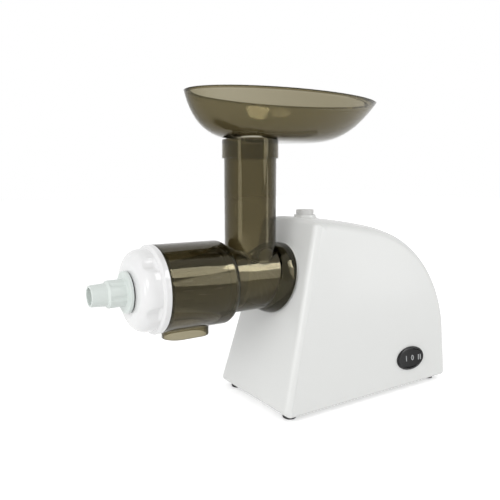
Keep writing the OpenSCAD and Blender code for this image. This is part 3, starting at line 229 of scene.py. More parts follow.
# Seams and poles merged, faces turned outwards
def closed(form):
    bmesh.ops.remove_doubles(form, verts=form.verts, dist=mergeGap)
    bmesh.ops.dissolve_degenerate(form, edges=form.edges, dist=tinyEdge)
    bmesh.ops.recalc_face_normals(form, faces=form.faces)
    return form


# The open ends filled
def capped(form):
    bmesh.ops.holes_fill(form, edges=form.edges, sides=0)
    bmesh.ops.recalc_face_normals(form, faces=form.faces)
    return form


cornerShare = 0.48  # the most that a round corner takes of its edge


# An outline with round corners; a third value of a point is its own radius
def softened(points, radius, steps=3, loop=False):
    out = []
    last = len(points) - 1
    for i, point in enumerate(points):
        here = Vector(point[:2])
        size = point[2] if len(point) > 2 else radius
        if size == 0 or (not loop and i in (0, last)):
            out.append(here)
            continue
        ways = [Vector(points[j % len(points)][:2]) - here for j in (i - 1, i + 1)]
        ends = [here + w.normalized() * min(size, w.length * cornerShare) for w in ways]
        for s in range(steps + 1):
            t = s / steps
            out.append(ends[0] * (1 - t) ** 2 + here * 2 * t * (1 - t) + ends[1] * t * t)
    return out


# A form turned about Z from (height, radius) points
def lathe(points, steps=128, loop=False, radius=0.4, corner=3):
    form = bmesh.new()
    outline = softened(points, radius, corner, loop)
    verts = [form.verts.new((p[1], 0, p[0])) for p in outline]
    edges = [form.edges.new(pair) for pair in zip(verts, verts[1:] + (verts[:1] if loop else []))]
    bmesh.ops.spin(form, geom=verts + edges, cent=(0, 0, 0), axis=(0, 0, 1), angle=2 * pi, steps=steps,
                   use_merge=True)
    return closed(form)


def moved(form, matrix):
    form.transform(matrix)
    return form


# A plain upright cylinder
def peg(z0, z1, radius, steps=128):
    return lathe([(z0, 0), (z0, radius), (z1, radius), (z1, 0)], steps, radius=0)


# A plain cylinder on the press axis
def rod(x0, x1, radius):
    return moved(peg(x0, x1, radius), alongX)


# Separate closed forms in one mesh
def joined(*forms):
    out = forms[0]
    for other in forms[1:]:
        mesh = bpy.data.meshes.new("part")
        other.to_mesh(mesh)
        out.from_mesh(mesh)
        bpy.data.meshes.remove(mesh)
    return out


# The form after each (operation, tool) in turn
def carved(form, *steps):
    for operation, tool in steps:
        held = []
        for piece in (form, tool):
            mesh = bpy.data.meshes.new("carving")
            piece.to_mesh(mesh)
            held.append(bpy.data.objects.new("carving", mesh))
            scene.collection.objects.link(held[-1])
        cut = held[0].modifiers.new("cut", "BOOLEAN")
        cut.operation, cut.solver, cut.object = operation, "EXACT", held[1]
        shown = held[0].evaluated_get(bpy.context.evaluated_depsgraph_get())
        result = bpy.data.meshes.new_from_object(shown)
        form = bmesh.new()
        form.from_mesh(result)
        for mesh in [result] + [piece.data for piece in held]:
            bpy.data.meshes.remove(mesh)
        bmesh.ops.remove_doubles(form, verts=form.verts, dist=mergeGap)
        bmesh.ops.dissolve_degenerate(form, edges=form.edges, dist=tinyEdge)
    return form


# Puts a drawn form into the scene as a piece that rides on a body and stands for its CAD nodes
def finishPiece(name, form, body, surface, nodes=(), sharp=32, weighted=True):
    form.transform(toFrame)
    mesh = bpy.data.meshes.new(name)
    form.to_mesh(mesh)
    form.free()
    mesh.polygons.foreach_set("use_smooth", [True] * len(mesh.polygons))
    mesh.set_sharp_from_angle(angle=radians(sharp))
    mesh.materials.append(surface)
    piece = bpy.data.objects.new(name, mesh)
    scene.collection.objects.link(piece)
    if weighted:
        even = piece.modifiers.new("evenShading", "WEIGHTED_NORMAL")
        even.keep_sharp = True
    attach(piece, body)
    if nodes:
        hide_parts(*nodes)
    print("piece", name, len(mesh.polygons), "faces")
    return piece


# Motor body
bodyValues = dict(
    frontX=-1, length=236, baseWidth=130, footHeight=5.5, height=190.8, lean=14.9, sideLean=5.5,
    backRadius=126, roofRadius=620, roofSlope=11.4, crown=3.3, crownPower=4, edge=8, roofEdge=8,
    footEdge=4, brow=8, toe=6, heel=7.5, cornerDepth=0.93, wall=2.8, deck=3, rim=5.5, rimEnd=7,
    bossOut=2.8, bossStep=3.5, sleeveShort=5.5,
)
# Where the press head plugs into the body
socketValues = dict(bellRadius=37.5, bellLength=16, spigotRadius=30, spigotLength=25.5)
bv = bodyValues
lean, sideLean = radians(bv["lean"]), radians(bv["sideLean"])
footZ = bv["footHeight"]
frontX, backX = bv["frontX"], bv["frontX"] + bv["length"]
roofZ = footZ + bv["height"]
bellRadius, spigotRadius = socketValues["bellRadius"], socketValues["spigotRadius"]
mateX = frontX + tan(lean) * (axisZ - footZ) - bv["bossOut"]
spigotBack = mateX + socketValues["spigotLength"]


# Stations round the side outline as (point, outward, radius), from the toe over the roof to the heel
def bodyOutline():
    slope = radians(bv["roofSlope"])
    gap = bv["roofRadius"] - bv["backRadius"]
    backC = Vector((backX - bv["backRadius"], roofZ - bv["roofRadius"] + gap * cos(slope)))
    roofC = backC - gap * Vector((sin(slope), cos(slope)))
    up, inward = Vector((sin(lean), cos(lean))), Vector((cos(lean), -sin(lean)))
    foot = Vector((frontX, footZ))
    start = foot + inward * bv["brow"] - roofC
    reach = -start.dot(up) + sqrt(start.dot(up) ** 2 - start.dot(start)
                                  + (bv["roofRadius"] - bv["brow"]) ** 2)
    browC = roofC + start + up * reach
    browAngle = atan2(browC.y - roofC.y, browC.x - roofC.x)
    toeC = foot + inward * bv["toe"] + up * bv["toe"] * (1 + sin(lean)) / cos(lean)
    heelC = Vector((backX - bv["heel"], footZ + bv["heel"]))
    out = []
    for centre, radius, a0, a1, count in (
        (toeC, bv["toe"], 1.5 * pi, pi - lean, 10),
        (browC, bv["brow"], pi - lean, browAngle, 14),
        (roofC, bv["roofRadius"], browAngle, pi / 2 - slope, 24),
        (backC, bv["backRadius"], pi / 2 - slope, 0, 52),
        (heelC, bv["heel"], 0, -pi / 2, 10),
    ):
        for i in range(count + 1):
            way = a0 + (a1 - a0) * i / count
            ray = Vector((cos(way), sin(way)))
            if not out or (centre + radius * ray - out[-1][0]).length > 10 * mergeGap:
                out.append((centre + radius * ray, ray, radius))
    return out


bodyStations = bodyOutline()


# Half the body's width at a height
def halfWidth(z):
    return bv["baseWidth"] / 2 - tan(sideLean) * (z - footZ)


# A point of the body's skin at a station: its side, its share of the flat width, its turn round the
# edge and its inset
def bodySkin(station, side, share, turn, inset):
    point, ray, corner = station
    rise, sink = max(0, ray.y) ** 2, max(0, -ray.y) ** 2
    outer = bv["edge"] + (bv["roofEdge"] - bv["edge"]) * rise + (bv["footEdge"] - bv["edge"]) * sink
    radius = max(outer - inset, outer / 4)
    depth = inset + radius * (1 - cos(turn)) + bv["crown"] * rise * share ** bv["crownPower"]
    depth = min(depth, bv["cornerDepth"] * corner)
    at = point - depth * ray
    half = halfWidth(at.y) - inset
    return Vector((at.x, side * ((half - radius) * share + radius * sin(turn)), at.y))


# The whole skin, inset by a wall where it is the inside
def bodyForm(inset, turns=9, flats=10):
    shares = [sin(pi / 2 * i / flats) for i in range(flats + 1)]
    edges = [pi / 2 * (i + 1) / turns for i in range(turns)]
    rows = [(-1, 1, t) for t in reversed(edges)] + [(-1, s, 0) for s in reversed(shares[1:])]
    rows += [(1, s, 0) for s in shares] + [(1, 1, t) for t in edges]
    count = len(bodyStations)
    return capped(gridForm(count, len(rows) - 1,
                           lambda i, k: bodySkin(bodyStations[i % count], *rows[k], inset)))


# An upright block with round corners: a circle whose quarters are moved apart, drawn upwards
def roundBox(x0, x1, width, z0, z1, radius, steps=10):
    centre, half = (x0 + x1) / 2, ((x1 - x0) / 2 - radius, width / 2 - radius)
    halfStep = pi / (4 * steps + 4)
    form = bmesh.new()
    bmesh.ops.create_circle(form, cap_ends=True, segments=4 * steps + 4, radius=1,
                            matrix=Matrix.Rotation(halfStep, 4, "Z"))
    for vert in form.verts:
        way = atan2(vert.co.y, vert.co.x)
        quarter = way // (pi / 2)
        turn = ((way - quarter * pi / 2) - halfStep) / (pi / 2 - pi / (2 * steps + 2)) * pi / 2
        turn = quarter * pi / 2 + turn
        vert.co = (centre + (half[0] if vert.co.x > 0 else -half[0]) + radius * cos(turn),
                   (half[1] if vert.co.y > 0 else -half[1]) + radius * sin(turn), z0)
    drawn = bmesh.ops.extrude_face_region(form, geom=form.faces[:])
    top = [g for g in drawn["geom"] if isinstance(g, bmesh.types.BMVert)]
    bmesh.ops.translate(form, verts=top, vec=(0, 0, z1 - z0))
    return closed(form)


# A block between two planes that lean like the front face, given at the press axis
def leanBlock(x0, x1):
    form = bmesh.new()
    bmesh.ops.create_cube(form, size=1)
    span = 190  # wider and higher than the head
    form.transform(Matrix.Translation((x0, 0, axisZ)) @ Matrix.Rotation(lean, 4, "Y")
                   @ Matrix.Diagonal(((x1 - x0) * cos(lean), span, span, 1))
                   @ Matrix.Translation((0.5, 0, 0)))
    return form


# Release button and its cup
buttonValues = dict(
    x=70, radius=9.4, rise=5.5, travel=3, wall=1.6, ceiling=2, shoulder=1.5, dish=0.5, stem=3.9,
    cupWall=1.9, cupRise=0.4, cupDepth=8, cupFloor=2.2, lip=1.2, flare=5, sink=4.3, lap=0.5,
)
ub = buttonValues
cupRadius = ub["radius"] + fit + ub["cupWall"]
cupZ = roofZ + ub["cupRise"]
shelfZ = cupZ - ub["cupDepth"]
buttonTop = cupZ + ub["rise"]
atButton = Matrix.Translation((ub["x"], 0, 0))


# Switch
switchValues = dict(fromBack=61.8, up=29.9, length=42, width=25.8, out=2.4, rim=2.6, deep=6.8, turn=9,
                    dish=0.72, rise=1.2, pin=2.4, side=3.6, endGap=1)
sv = switchValues
switchZ = footZ + sv["up"]
atSwitch = (Matrix.Translation((backX - sv["fromBack"], -halfWidth(switchZ), switchZ))
            @ Matrix.Rotation(pi / 2 - sideLean, 4, "X"))


# Cord gland's hole in the back wall
glandValues = dict(y=30, radius=6, lift=8)


# A closed ring or plug whose outline points are (inward offset, height) from an ellipse
def ovalForm(offsets, steps=96, length=None, width=None):
    length, width = (length or sv["length"]) / 2, (width or sv["width"]) / 2
    count = len(offsets)

    def at(i, k):
        turn = 2 * pi * i / steps
        inward, height = offsets[k % count]
        return Vector(((length - inward) * cos(turn), (width - inward) * sin(turn), height))

    return gridForm(steps, count, at)


def makeHousing():
    cutDepth = 6  # half the depth of a cut through a wall
    beyond = 190  # past the sleeve's end
    deckZ = footZ + max(bv["deck"], bv["wall"] + fit)
    sleeveBack = spigotBack - bv["sleeveShort"]
    flat = bv["baseWidth"] - 2 * bv["rim"]
    boss = carved(rod(frontX, sleeveBack, bellRadius - bv["bossStep"]),
                  ("INTERSECT", leanBlock(mateX, beyond)))
    # The cup flares out into the roof at its foot
    cupLow, flareLow = shelfZ - ub["cupFloor"], roofZ - ub["sink"]
    flare = [(flareLow + (ub["sink"] + ub["cupRise"] - ub["lip"]) * (1 - cos(a)),
              cupRadius + ub["flare"] * (1 - sin(a)), 0) for a in [pi / 2 * i / 8 for i in range(9)]]
    cup = moved(lathe([(cupLow, 0), (cupLow, cupRadius), (flareLow - ub["lap"], cupRadius),
                       (flareLow - ub["lap"], cupRadius + ub["flare"])]
                      + flare + [(cupZ, cupRadius, 0.5), (cupZ, 0)], radius=0.3), atButton)
    well = moved(peg(shelfZ, roofZ + 30, ub["radius"] + fit), atButton)
    stem = moved(peg(shelfZ - 4, shelfZ + 1, ub["stem"] + fit), atButton)
    seat = sv["rim"] / 2 - press
    switchHole = capped(moved(ovalForm([(seat, -cutDepth), (seat, cutDepth)]), atSwitch))
    glandZ = footZ + bv["heel"] + glandValues["radius"] + glandValues["lift"]
    atGland = Matrix.Translation((backX, glandValues["y"], glandZ)) @ Matrix.Rotation(pi / 2, 4, "Y")
    gland = moved(peg(-cutDepth, cutDepth, glandValues["radius"], 64), atGland)
    return carved(
        bodyForm(0),
        ("DIFFERENCE", bodyForm(bv["wall"])),
        ("DIFFERENCE", roundBox(frontX + bv["rimEnd"], backX - bv["rimEnd"], flat, footZ - 1, deckZ,
                                bv["rim"])),
        ("UNION", boss),
        ("UNION", cup),
        ("DIFFERENCE", rod(frontX - 20, sleeveBack + 1, spigotRadius + fit)),
        ("DIFFERENCE", well),
        ("DIFFERENCE", stem),
        ("DIFFERENCE", switchHole),
        ("DIFFERENCE", gland),
    )


finishPiece("motorBody", makeHousing(), "base", mouldedAbsWhite, ["housing_shell"])


# Rubber feet
footValues = dict(radius=7.5, hole=2.5, front=15.5, back=15.5, side=16, tread=0.8)
fv = footValues
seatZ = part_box("rubber_feet")[1].z * 1000  # their tops, in the base plate


def makeFeet():
    feet = []
    reach = bv["baseWidth"] / 2 - fv["side"]
    for x in (frontX + fv["front"], backX - fv["back"]):
        for y in (-reach, reach):
            foot = lathe([(footZ / 2, 0), (footZ / 2, fv["hole"], 0.3), (0, fv["hole"], 0.4),
                          (0, fv["radius"] - fv["tread"], 0.9), (seatZ, fv["radius"], 0.1), (seatZ, 0)],
                         64)
            feet.append(moved(foot, Matrix.Translation((x, y, 0))))
    return joined(*feet)


finishPiece("rubberFeet", makeFeet(), "base", mouldedRubber, ["rubber_feet"])


def makeButton():
    skirt = shelfZ + ub["travel"] + 1
    inner, roofIn = ub["radius"] - ub["wall"], buttonTop - ub["ceiling"]
    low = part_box("release_button")[0].z * 1000  # the stem's end
    dished = ub["radius"] - ub["shoulder"]
    crown = [(buttonTop - ub["dish"] * (1 - (r / dished) ** 2), r, 0)
             for r in [dished * i / 6 for i in range(6)]]
    return moved(lathe(crown + [
        (buttonTop, ub["radius"], 1.1), (skirt, ub["radius"], 0.3), (skirt, inner, 0.3),
        (roofIn, inner, 0.4), (roofIn, ub["stem"], 0.4), (low, ub["stem"], 0.5), (low, 0)],
        96, corner=4), atButton)


finishPiece("releaseButton", makeButton(), "button", mouldedAbsGrey,
            ["release_button"])

# The button's spring: a coil in the sleeve's place, at the height it has with the button up
springValues = dict(wire=1.1, turns=4.5, topGap=0.1)
springHeight = buttonTop - ub["ceiling"] - springValues["topGap"] - shelfZ


def makeSpring():
    wire = springValues["wire"] / 2
    low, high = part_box("button_spring")
    radius = (high.x - low.x) * 500 - wire
    steps = 160

    def at(i, k):
        swing, turn = 2 * pi * springValues["turns"] * i / steps, 2 * pi * k / 12
        reach = radius + wire * cos(turn)
        height = wire + (springHeight - 2 * wire) * i / steps
        return Vector((reach * cos(swing), reach * sin(swing), shelfZ + height + wire * sin(turn)))

    return moved(capped(gridForm(steps, 12, at)), atButton)


spring = finishPiece("buttonSpring", makeSpring(), "base", slotSurfaces["spring_steel"],
                     ["button_spring"], weighted=False)
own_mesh(spring)


# The rim rises steeply from the wall, then rounds over to the rocker
def makeBezel():
    rim, out, deep = sv["rim"], sv["out"], sv["deep"]
    ring = softened([(0, 0, 0), (0, out * 0.55, 0.7), (rim * 0.35, out * 0.95, 0.6), (rim, out, 0.5),
                     (rim, -deep, 0), (rim / 2, -deep, 0), (rim / 2, 0, 0)], 0.3, 4, True)
    return moved(ovalForm(ring), atSwitch)


finishPiece("switchBezel", makeBezel(), "base", glossyBlackAbs, ["switch_bezel"])


# The rocker's face is hollow along its length, and its front end is pressed at rest
def rockerTop(x):
    rise = sv["out"] + sv["rise"] - sv["dish"]
    radius = ((sv["length"] / 2) ** 2 + rise ** 2) / (2 * rise)
    return sv["dish"] + radius - sqrt(radius ** 2 - x ** 2)


atRocker = (atSwitch @ Matrix.Translation((0, 0, -sv["pin"]))
            @ Matrix.Rotation(-radians(sv["turn"]), 4, "Y") @ Matrix.Translation((0, 0, sv["pin"])))


def makeRocker():
    length, width = sv["length"] / 2 - sv["rim"] - sv["endGap"], sv["width"] / 2 - sv["rim"] - fit
    # Rings from the middle outwards as (share of the size, height, whether it follows the hollow face)
    rows = [(1 - (1 - i / 14) ** 1.5, 0, True) for i in range(13)]
    rows += [(0.985, 0, True), (1, -0.25, True), (1, -0.9, True), (1, -sv["side"], False),
             (0, -sv["side"], False)]

    def at(i, k):
        turn = 2 * pi * i / 96
        share, height, follows = rows[k]
        x, y = length * share * cos(turn), width * share * sin(turn)
        return Vector((x, y, rockerTop(x) + height if follows else height))

    return moved(gridForm(96, len(rows) - 1, at), atRocker)


finishPiece("switchRocker", makeRocker(), "rocker", glossyBlackAbs, ["switch_rocker"])


# Generic marks for its three places: I, O and II, printed on the hollow face
markValues = dict(first=-5.2, middle=3.4, last=12.4, height=6, stroke=1.1, gap=2.4, oval=3.6, thick=0.12)
mv = markValues


def makeMarks():
    forms = []
    for x in (mv["first"], mv["last"] - mv["gap"] / 2, mv["last"] + mv["gap"] / 2):
        bar = bmesh.new()
        bmesh.ops.create_cube(bar, size=1, matrix=Matrix.Translation((x, 0, 0))
                              @ Matrix.Diagonal((mv["stroke"], mv["height"], mv["thick"] * 2, 1)))
        bmesh.ops.subdivide_edges(bar, edges=bar.edges, cuts=2, use_grid_fill=True)
        forms.append(bar)
    stroke, thick = mv["stroke"], mv["thick"]
    ring = ovalForm([(0, thick), (0, -thick), (stroke, -thick), (stroke, thick)], 48, mv["oval"],
                    mv["height"])
    forms.append(moved(ring, Matrix.Translation((mv["middle"], 0, 0))))
    marks = joined(*forms)
    for vert in marks.verts:
        vert.co.z += rockerTop(vert.co.x)
    return moved(marks, atRocker)


finishPiece("switchMarks", makeMarks(), "rocker", markPaint)


# Press head of smoked plastic
headValues = dict(
    tube=26, tubeWall=2.6, tubeHeight=134, tubeEdge=0.4, barrel=32.2, barrelWall=2.5,
    juice=41.1, juiceWall=3, juiceBack=33.7, juiceLength=71.3, shoulder=7, fillet=3, filletRise=1.2,
    spoutLength=47, spoutWidth=28, spoutHeight=48, spoutWall=2.2, spoutX=-74.13, spoutReach=8,
    neck=35.2, neckWall=2.2, neckLength=6, spigotWall=2.5, endWall=3, spindleHole=10, bellDrop=2,
)
hv = headValues
juiceBack = hv["juiceBack"]
nutBack = juiceBack + hv["juiceLength"]
tubeTop = axisZ + hv["tubeHeight"]


# The oval of the juice spout as a block: two half rounds and the flats between them
def spoutForm(grow, z0, z1):
    flat = (hv["spoutLength"] - hv["spoutWidth"]) / 2
    steps = 96

    def at(i, k):
        turn = 2 * pi * i / steps
        height = z0 if k < 2 else z1
        if k in (0, 3):
            return Vector((hv["spoutX"], 0, height))
        reach = hv["spoutWidth"] / 2 + grow
        side = flat if cos(turn) > 1e-6 else (-flat if cos(turn) < -1e-6 else 0)
        return Vector((hv["spoutX"] + side + reach * cos(turn), reach * sin(turn), height))

    return gridForm(steps, 3, at)


# The feed tube, whose foot flares into the barrel along the line where they meet
def tubeForm():
    barrel, fillet, edge = hv["barrel"], hv["fillet"], hv["tubeEdge"]
    flares = 8

    def at(i, k):
        turn = 2 * pi * i / 128
        if k == 0:
            return Vector((0, 0, axisZ - 5))
        if k <= flares + 1:
            swing = pi / 2 * (k - 1) / flares
            radius = hv["tube"] + fillet * (1 - sin(swing))
            y = min(radius * abs(sin(turn)), barrel - 0.6)
            z = (axisZ + sqrt(barrel ** 2 - y ** 2) - edge
                 + fillet * (1 - cos(swing)) * hv["filletRise"])
        else:
            radius, z = ((hv["tube"], tubeTop - edge), (hv["tube"] - edge, tubeTop),
                         (0, tubeTop))[k - flares - 2]
        return Vector((radius * cos(turn), radius * sin(turn), z))

    return gridForm(128, flares + 4, at)


# The bell's quarter-round shoulder, standing on a rim that leans like the front face
def bellForm():
    length, step = socketValues["bellLength"], 0.3
    neck = hv["barrel"] - step
    shoulder = [(length * (1 - cos(a)), neck + (bellRadius - neck) * sin(a), 0)
                for a in [pi / 2 * i / 12 for i in range(12)]]
    bell = lathe([(0, 0)] + shoulder
                 + [(length - 0.4, bellRadius, 0.2), (length, bellRadius - step, 0.2), (length, 0)], 144)
    drop = hv["bellDrop"]
    return moved(bell, Matrix.Translation((mateX - tan(lean) * drop, 0, axisZ - drop))
                 @ Matrix.Rotation(lean, 4, "Y")
                 @ Matrix(((0, 0, 1, 0), (1, 0, 0, 0), (0, 1, 0, 0), (0, 0, 0, 1)))
                 @ Matrix.Translation((0, 0, -length)))


# The juice housing with its round shoulder, inset by a wall where it is the inside
def juiceForm(wall, edge, steps):
    radius, bend = hv["juice"], hv["shoulder"] - wall
    centreX, centreR = -juiceBack - hv["shoulder"], radius - hv["shoulder"]
    arc = [(centreX + bend * sin(a), centreR + bend * cos(a), 0)
           for a in [pi / 2 * i / steps for i in range(steps + 1)]]
    return moved(lathe([(-nutBack + wall, 0), (-nutBack + wall, radius - wall, edge)] + arc
                       + [(-juiceBack - wall, 0)], 160), alongX)


def makeHead():
    beyond = 160  # past the spigot's end
    wallX = mateX - fit
    wall, barrel, neck = hv["juiceWall"], hv["barrel"], hv["neck"]
    neckFront = -nutBack - hv["neckLength"]
    return carved(
        rod(-juiceBack - wall, mateX + barrel, barrel),
        ("UNION", bellForm()),
        ("DIFFERENCE", leanBlock(wallX, beyond)),
        ("UNION", juiceForm(0, 0.8, 10)),
        ("UNION", rod(neckFront, -nutBack + 1, neck)),
        ("UNION", tubeForm()),
        ("UNION", spoutForm(0, axisZ - hv["spoutHeight"], axisZ)),
        ("UNION", rod(mateX - socketValues["bellLength"], spigotBack, spigotRadius)),
        ("DIFFERENCE", rod(-juiceBack - wall - 1, wallX, barrel - hv["barrelWall"])),
        ("DIFFERENCE", rod(wallX + hv["endWall"], spigotBack + 1, spigotRadius - hv["spigotWall"])),
        ("DIFFERENCE", rod(wallX - 1, wallX + hv["endWall"] + 1, hv["spindleHole"])),
        ("DIFFERENCE", juiceForm(wall, 1, 8)),
        ("DIFFERENCE", rod(neckFront - 1, -nutBack + wall + 1, neck - hv["neckWall"])),
        ("DIFFERENCE", peg(axisZ, tubeTop + 1, hv["tube"] - hv["tubeWall"])),
        ("DIFFERENCE", spoutForm(-hv["spoutWall"], axisZ - hv["spoutHeight"] - 1,
                                 axisZ - hv["juice"] + wall + hv["spoutReach"])),
    )


finishPiece("pressHead", makeHead(), "base", smokedSan, ["press_head"])


# Tray
trayValues = dict(length=228.2, width=111.8, depth=45, wall=2.2, x=45.3, shift=14.5, share=4.4,
                  collarHeight=17, collarWall=1.7, rise=3.4, lip=1.6, lipHeight=1.5, lipBend=0.3,
                  crest=0.5)
tv = trayValues
dishZ = tubeTop + tv["rise"]
rimZ = dishZ + tv["depth"]
collarRadius = hv["tube"] + fit + tv["collarWall"]


# A point of the dish: its share of the way to the rim, its turn, its inset and its lift
def dishPoint(share, turn, inset, lift=0):
    drop = 1 - share ** tv["share"]
    return Vector((tv["x"] - tv["shift"] * drop + (tv["length"] / 2 - inset) * share * cos(turn),
                   (tv["width"] / 2 - inset) * share * sin(turn),
                   rimZ - (tv["depth"] - inset) * drop + lift))


# The dish runs out to the rim, over its round crest and lip, and back along the inside
def makeTray():
    count, crowding = 34, 0.62  # the rows crowd towards the steep side
    shares = [(i / count) ** crowding for i in range(count + 1)]
    wall, lip, bend = tv["wall"], tv["lipHeight"], tv["lipBend"]
    half = (wall + tv["lip"]) / 2
    rows = [(s, 0, 0) for s in shares]
    rows += [(1, half - half * cos(a), tv["crest"] * sin(a)) for a in [pi * i / 8 for i in range(1, 9)]]
    rows += [(1, 2 * half, -lip), (1, wall + bend, -lip - bend)]
    rows += [(s, wall, 0) for s in reversed(shares[:-1])]
    steps = 144
    dish = gridForm(steps, len(rows) - 1,
                    lambda i, k: dishPoint(rows[k][0], 2 * pi * i / steps, rows[k][1], rows[k][2]))
    low = dishZ - tv["collarHeight"]
    bore = hv["tube"] - hv["tubeWall"]
    seat = tubeTop + fit
    collar = lathe([(dishZ + wall / 2, 0), (dishZ + wall / 2, collarRadius, 0), (low, collarRadius, 0.5),
                    (low, 0)], 144)
    inside = lathe([(rimZ, 0), (rimZ, bore, 0), (seat, bore, 0.2), (seat, hv["tube"] + fit, 0.2),
                    (low - 1, hv["tube"] + fit), (low - 1, 0)], 144)
    return carved(dish, ("UNION", collar), ("DIFFERENCE", inside))


finishPiece("hopperTray", makeTray(), "tray", smokedSan, ["hopper_tray"])


# Ring nut
nutValues = dict(radius=41.2, band=6, grip=37.8, length=24.6, face=24, wall=2.6, sealRoom=1.3, stem=15.5,
                 count=5, recess=13, recessDepth=3, recessStart=1.4, ramp=2.2, dome=12, domeTurn=80,
                 turn=-155, soft=0.9)
nv = nutValues
nutFront = nutBack + nv["length"]
stemRadius = nv["stem"]  # of the nozzle's stem, which sits in the nut


# Distance from the axis to a round groove cut at equal turns, or None where there is none
def cutRadius(turn, count, start, centre, radius):
    step = 2 * pi / count
    off = (turn - start + step / 2) % step - step / 2
    if abs(centre * sin(off)) >= radius or abs(off) > pi / 2:
        return None
    return centre * cos(off) - sqrt(radius ** 2 - (centre * sin(off)) ** 2)


# The lesser of two sizes, with a soft change between them
def softLeast(a, b, size):
    gap = max(0, size - abs(a - b)) / size
    return min(a, b) - gap * gap * size / 4


# Draws a point of a turned form towards or away from its axis
def toRadius(vert, radius, wanted):
    vert.co.x *= wanted / radius
    vert.co.y *= wanted / radius


# A turned form whose outer wall is pressed in at the finger recesses
def makeNut():
    bandFront = nutBack + nv["band"]
    step = nutBack + hv["neckLength"] + nv["sealRoom"]
    inner, stepR, hole = hv["neck"] + fit, hv["neck"] - hv["neckWall"], stemRadius + fit
    grip, dome, wall, ramp = nv["grip"], nv["dome"], nv["wall"], nv["ramp"]
    run = [(-bandFront - ramp - i * (nv["length"] - nv["band"] - ramp - dome) / 12, grip, 0)
           for i in range(12)]
    arc = [(-nutFront + dome - dome * sin(a), grip - dome + dome * cos(a), 0)
           for a in [radians(nv["domeTurn"]) * i / 16 for i in range(17)]]
    points = [(-nutBack - fit, inner, 0.3), (-nutBack - fit, nv["radius"], 0.8),
              (-bandFront + 0.4, nv["radius"], 0.9), (-bandFront - 0.9, grip, 0.6)]
    points += run + arc + [
        (-nutFront, nv["face"] + 1, 1.2), (-nutFront, hole, 0.4), (-nutFront + wall, hole, 0.3),
        (-nutFront + wall, stepR - wall, 0.3), (-nutFront + 2 * wall, stepR, 0.3), (-step, stepR, 0.2),
        (-step, inner, 0.2)]
    form = lathe(points, 300, loop=True, corner=4)
    centre = grip + nv["recess"] - nv["recessDepth"]
    for vert in form.verts:
        radius, turn = hypot(vert.co.x, vert.co.y), atan2(vert.co.y, vert.co.x)
        deep = min(1, max(0, (-vert.co.z - bandFront - nv["recessStart"]) / ramp))
        if deep and radius > stepR + 0.5:
            cut = cutRadius(turn, nv["count"], radians(nv["turn"]), centre, nv["recess"])
            wanted = softLeast(radius, grip + 3 if cut is None else cut, nv["soft"])
            deep = deep * deep * (3 - 2 * deep)
            toRadius(vert, radius, radius + (wanted - radius) * deep)
    return moved(form, alongX)


finishPiece("ringNut", makeNut(), "nut", polishedAbsWhite, ["ring_nut"], sharp=40)


# Pulp nozzle
nozzleValues = dict(tip=9.6, tipLength=13.9, flute=12.4, fluteLength=16.7, flange=19.2, flangeWall=3.3,
                    flangeLift=1, bore=7.6, stemLength=9, stemWall=2.5, count=6, turn=190, cut=4,
                    cutDepth=1, soft=0.5)
zv = nozzleValues
nozzleBack = nutFront + zv["flangeLift"] + fit
tipX = nozzleBack + zv["flangeWall"] + zv["fluteLength"] + zv["tipLength"]


# A turned form whose neck is cut by flutes that run out at both ends
def makeNozzle():
    back, front = -nozzleBack, -nozzleBack - zv["flangeWall"]
    flute, stemEnd, fluteEnd = zv["flute"], back + zv["stemLength"], front - zv["fluteLength"]
    run = [(front - 0.6 - i * (zv["fluteLength"] - 3) / 12, flute, 0) for i in range(13)]
    points = [
        (stemEnd, stemRadius - zv["stemWall"], 0.3), (stemEnd, stemRadius, 0.5), (back, stemRadius, 0.2),
        (back, zv["flange"], 0.8), (front, zv["flange"], 1), (front, flute + 0.5, 0.5)] + run + [
        (fluteEnd + 1.6, flute, 0.8), (fluteEnd, zv["tip"] + 0.7, 0.6), (-tipX, zv["tip"], 0.8),
        (-tipX, zv["bore"], 0.5), (front, zv["bore"], 0.3)]
    form = lathe(points, 240, loop=True, corner=4)
    for vert in form.verts:
        radius, turn = hypot(vert.co.x, vert.co.y), atan2(vert.co.y, vert.co.x)
        deep = (min(1, max(0, (-vert.co.z + front - 0.2) / 0.8))
                * min(1, max(0, (vert.co.z - fluteEnd - 1) / 3)))
        if deep and flute + 0.4 > radius > flute - 2:
            cut = cutRadius(turn, zv["count"], radians(zv["turn"]), flute + zv["cut"] - zv["cutDepth"],
                            zv["cut"])
            wanted = radius if cut is None else softLeast(radius, cut, zv["soft"])
            toRadius(vert, radius, radius + (wanted - radius) * deep)
    return moved(form, alongX)


finishPiece("pulpNozzle", makeNozzle(), "nozzle", waxyPolypropylene, ["pulp_nozzle"],
            sharp=40)


# Camera
cameraValues = dict(x=-294.7, y=-455.5, z=232.8, yaw=32.88, pitch=7.35, lens=38.79)
cv = cameraValues
yaw, pitch = radians(cv["yaw"]), radians(cv["pitch"])
way = Vector((sin(yaw) * cos(pitch), cos(yaw) * cos(pitch), -sin(pitch)))
camera = bpy.data.objects.new("camera", bpy.data.cameras.new("camera"))
scene.collection.objects.link(camera)
camera.data.lens = cv["lens"]
camera.data.sensor_width = 36
camera.data.clip_end = 50
camera.location = Vector((cv["x"] - midX, cv["y"], cv["z"])) / 1000
camera.rotation_euler = way.to_track_quat("-Z", "Y").to_euler()
scene.camera = camera


# Floor, world and lamps
stageValues = dict(floor=6, worldLight=0.66, floorLift=0.44, key=12, fill=3, band=6.5, bandSide=3,
                   bandLow=4, strip=0.8, left=2, edge=2.6)
lv = stageValues


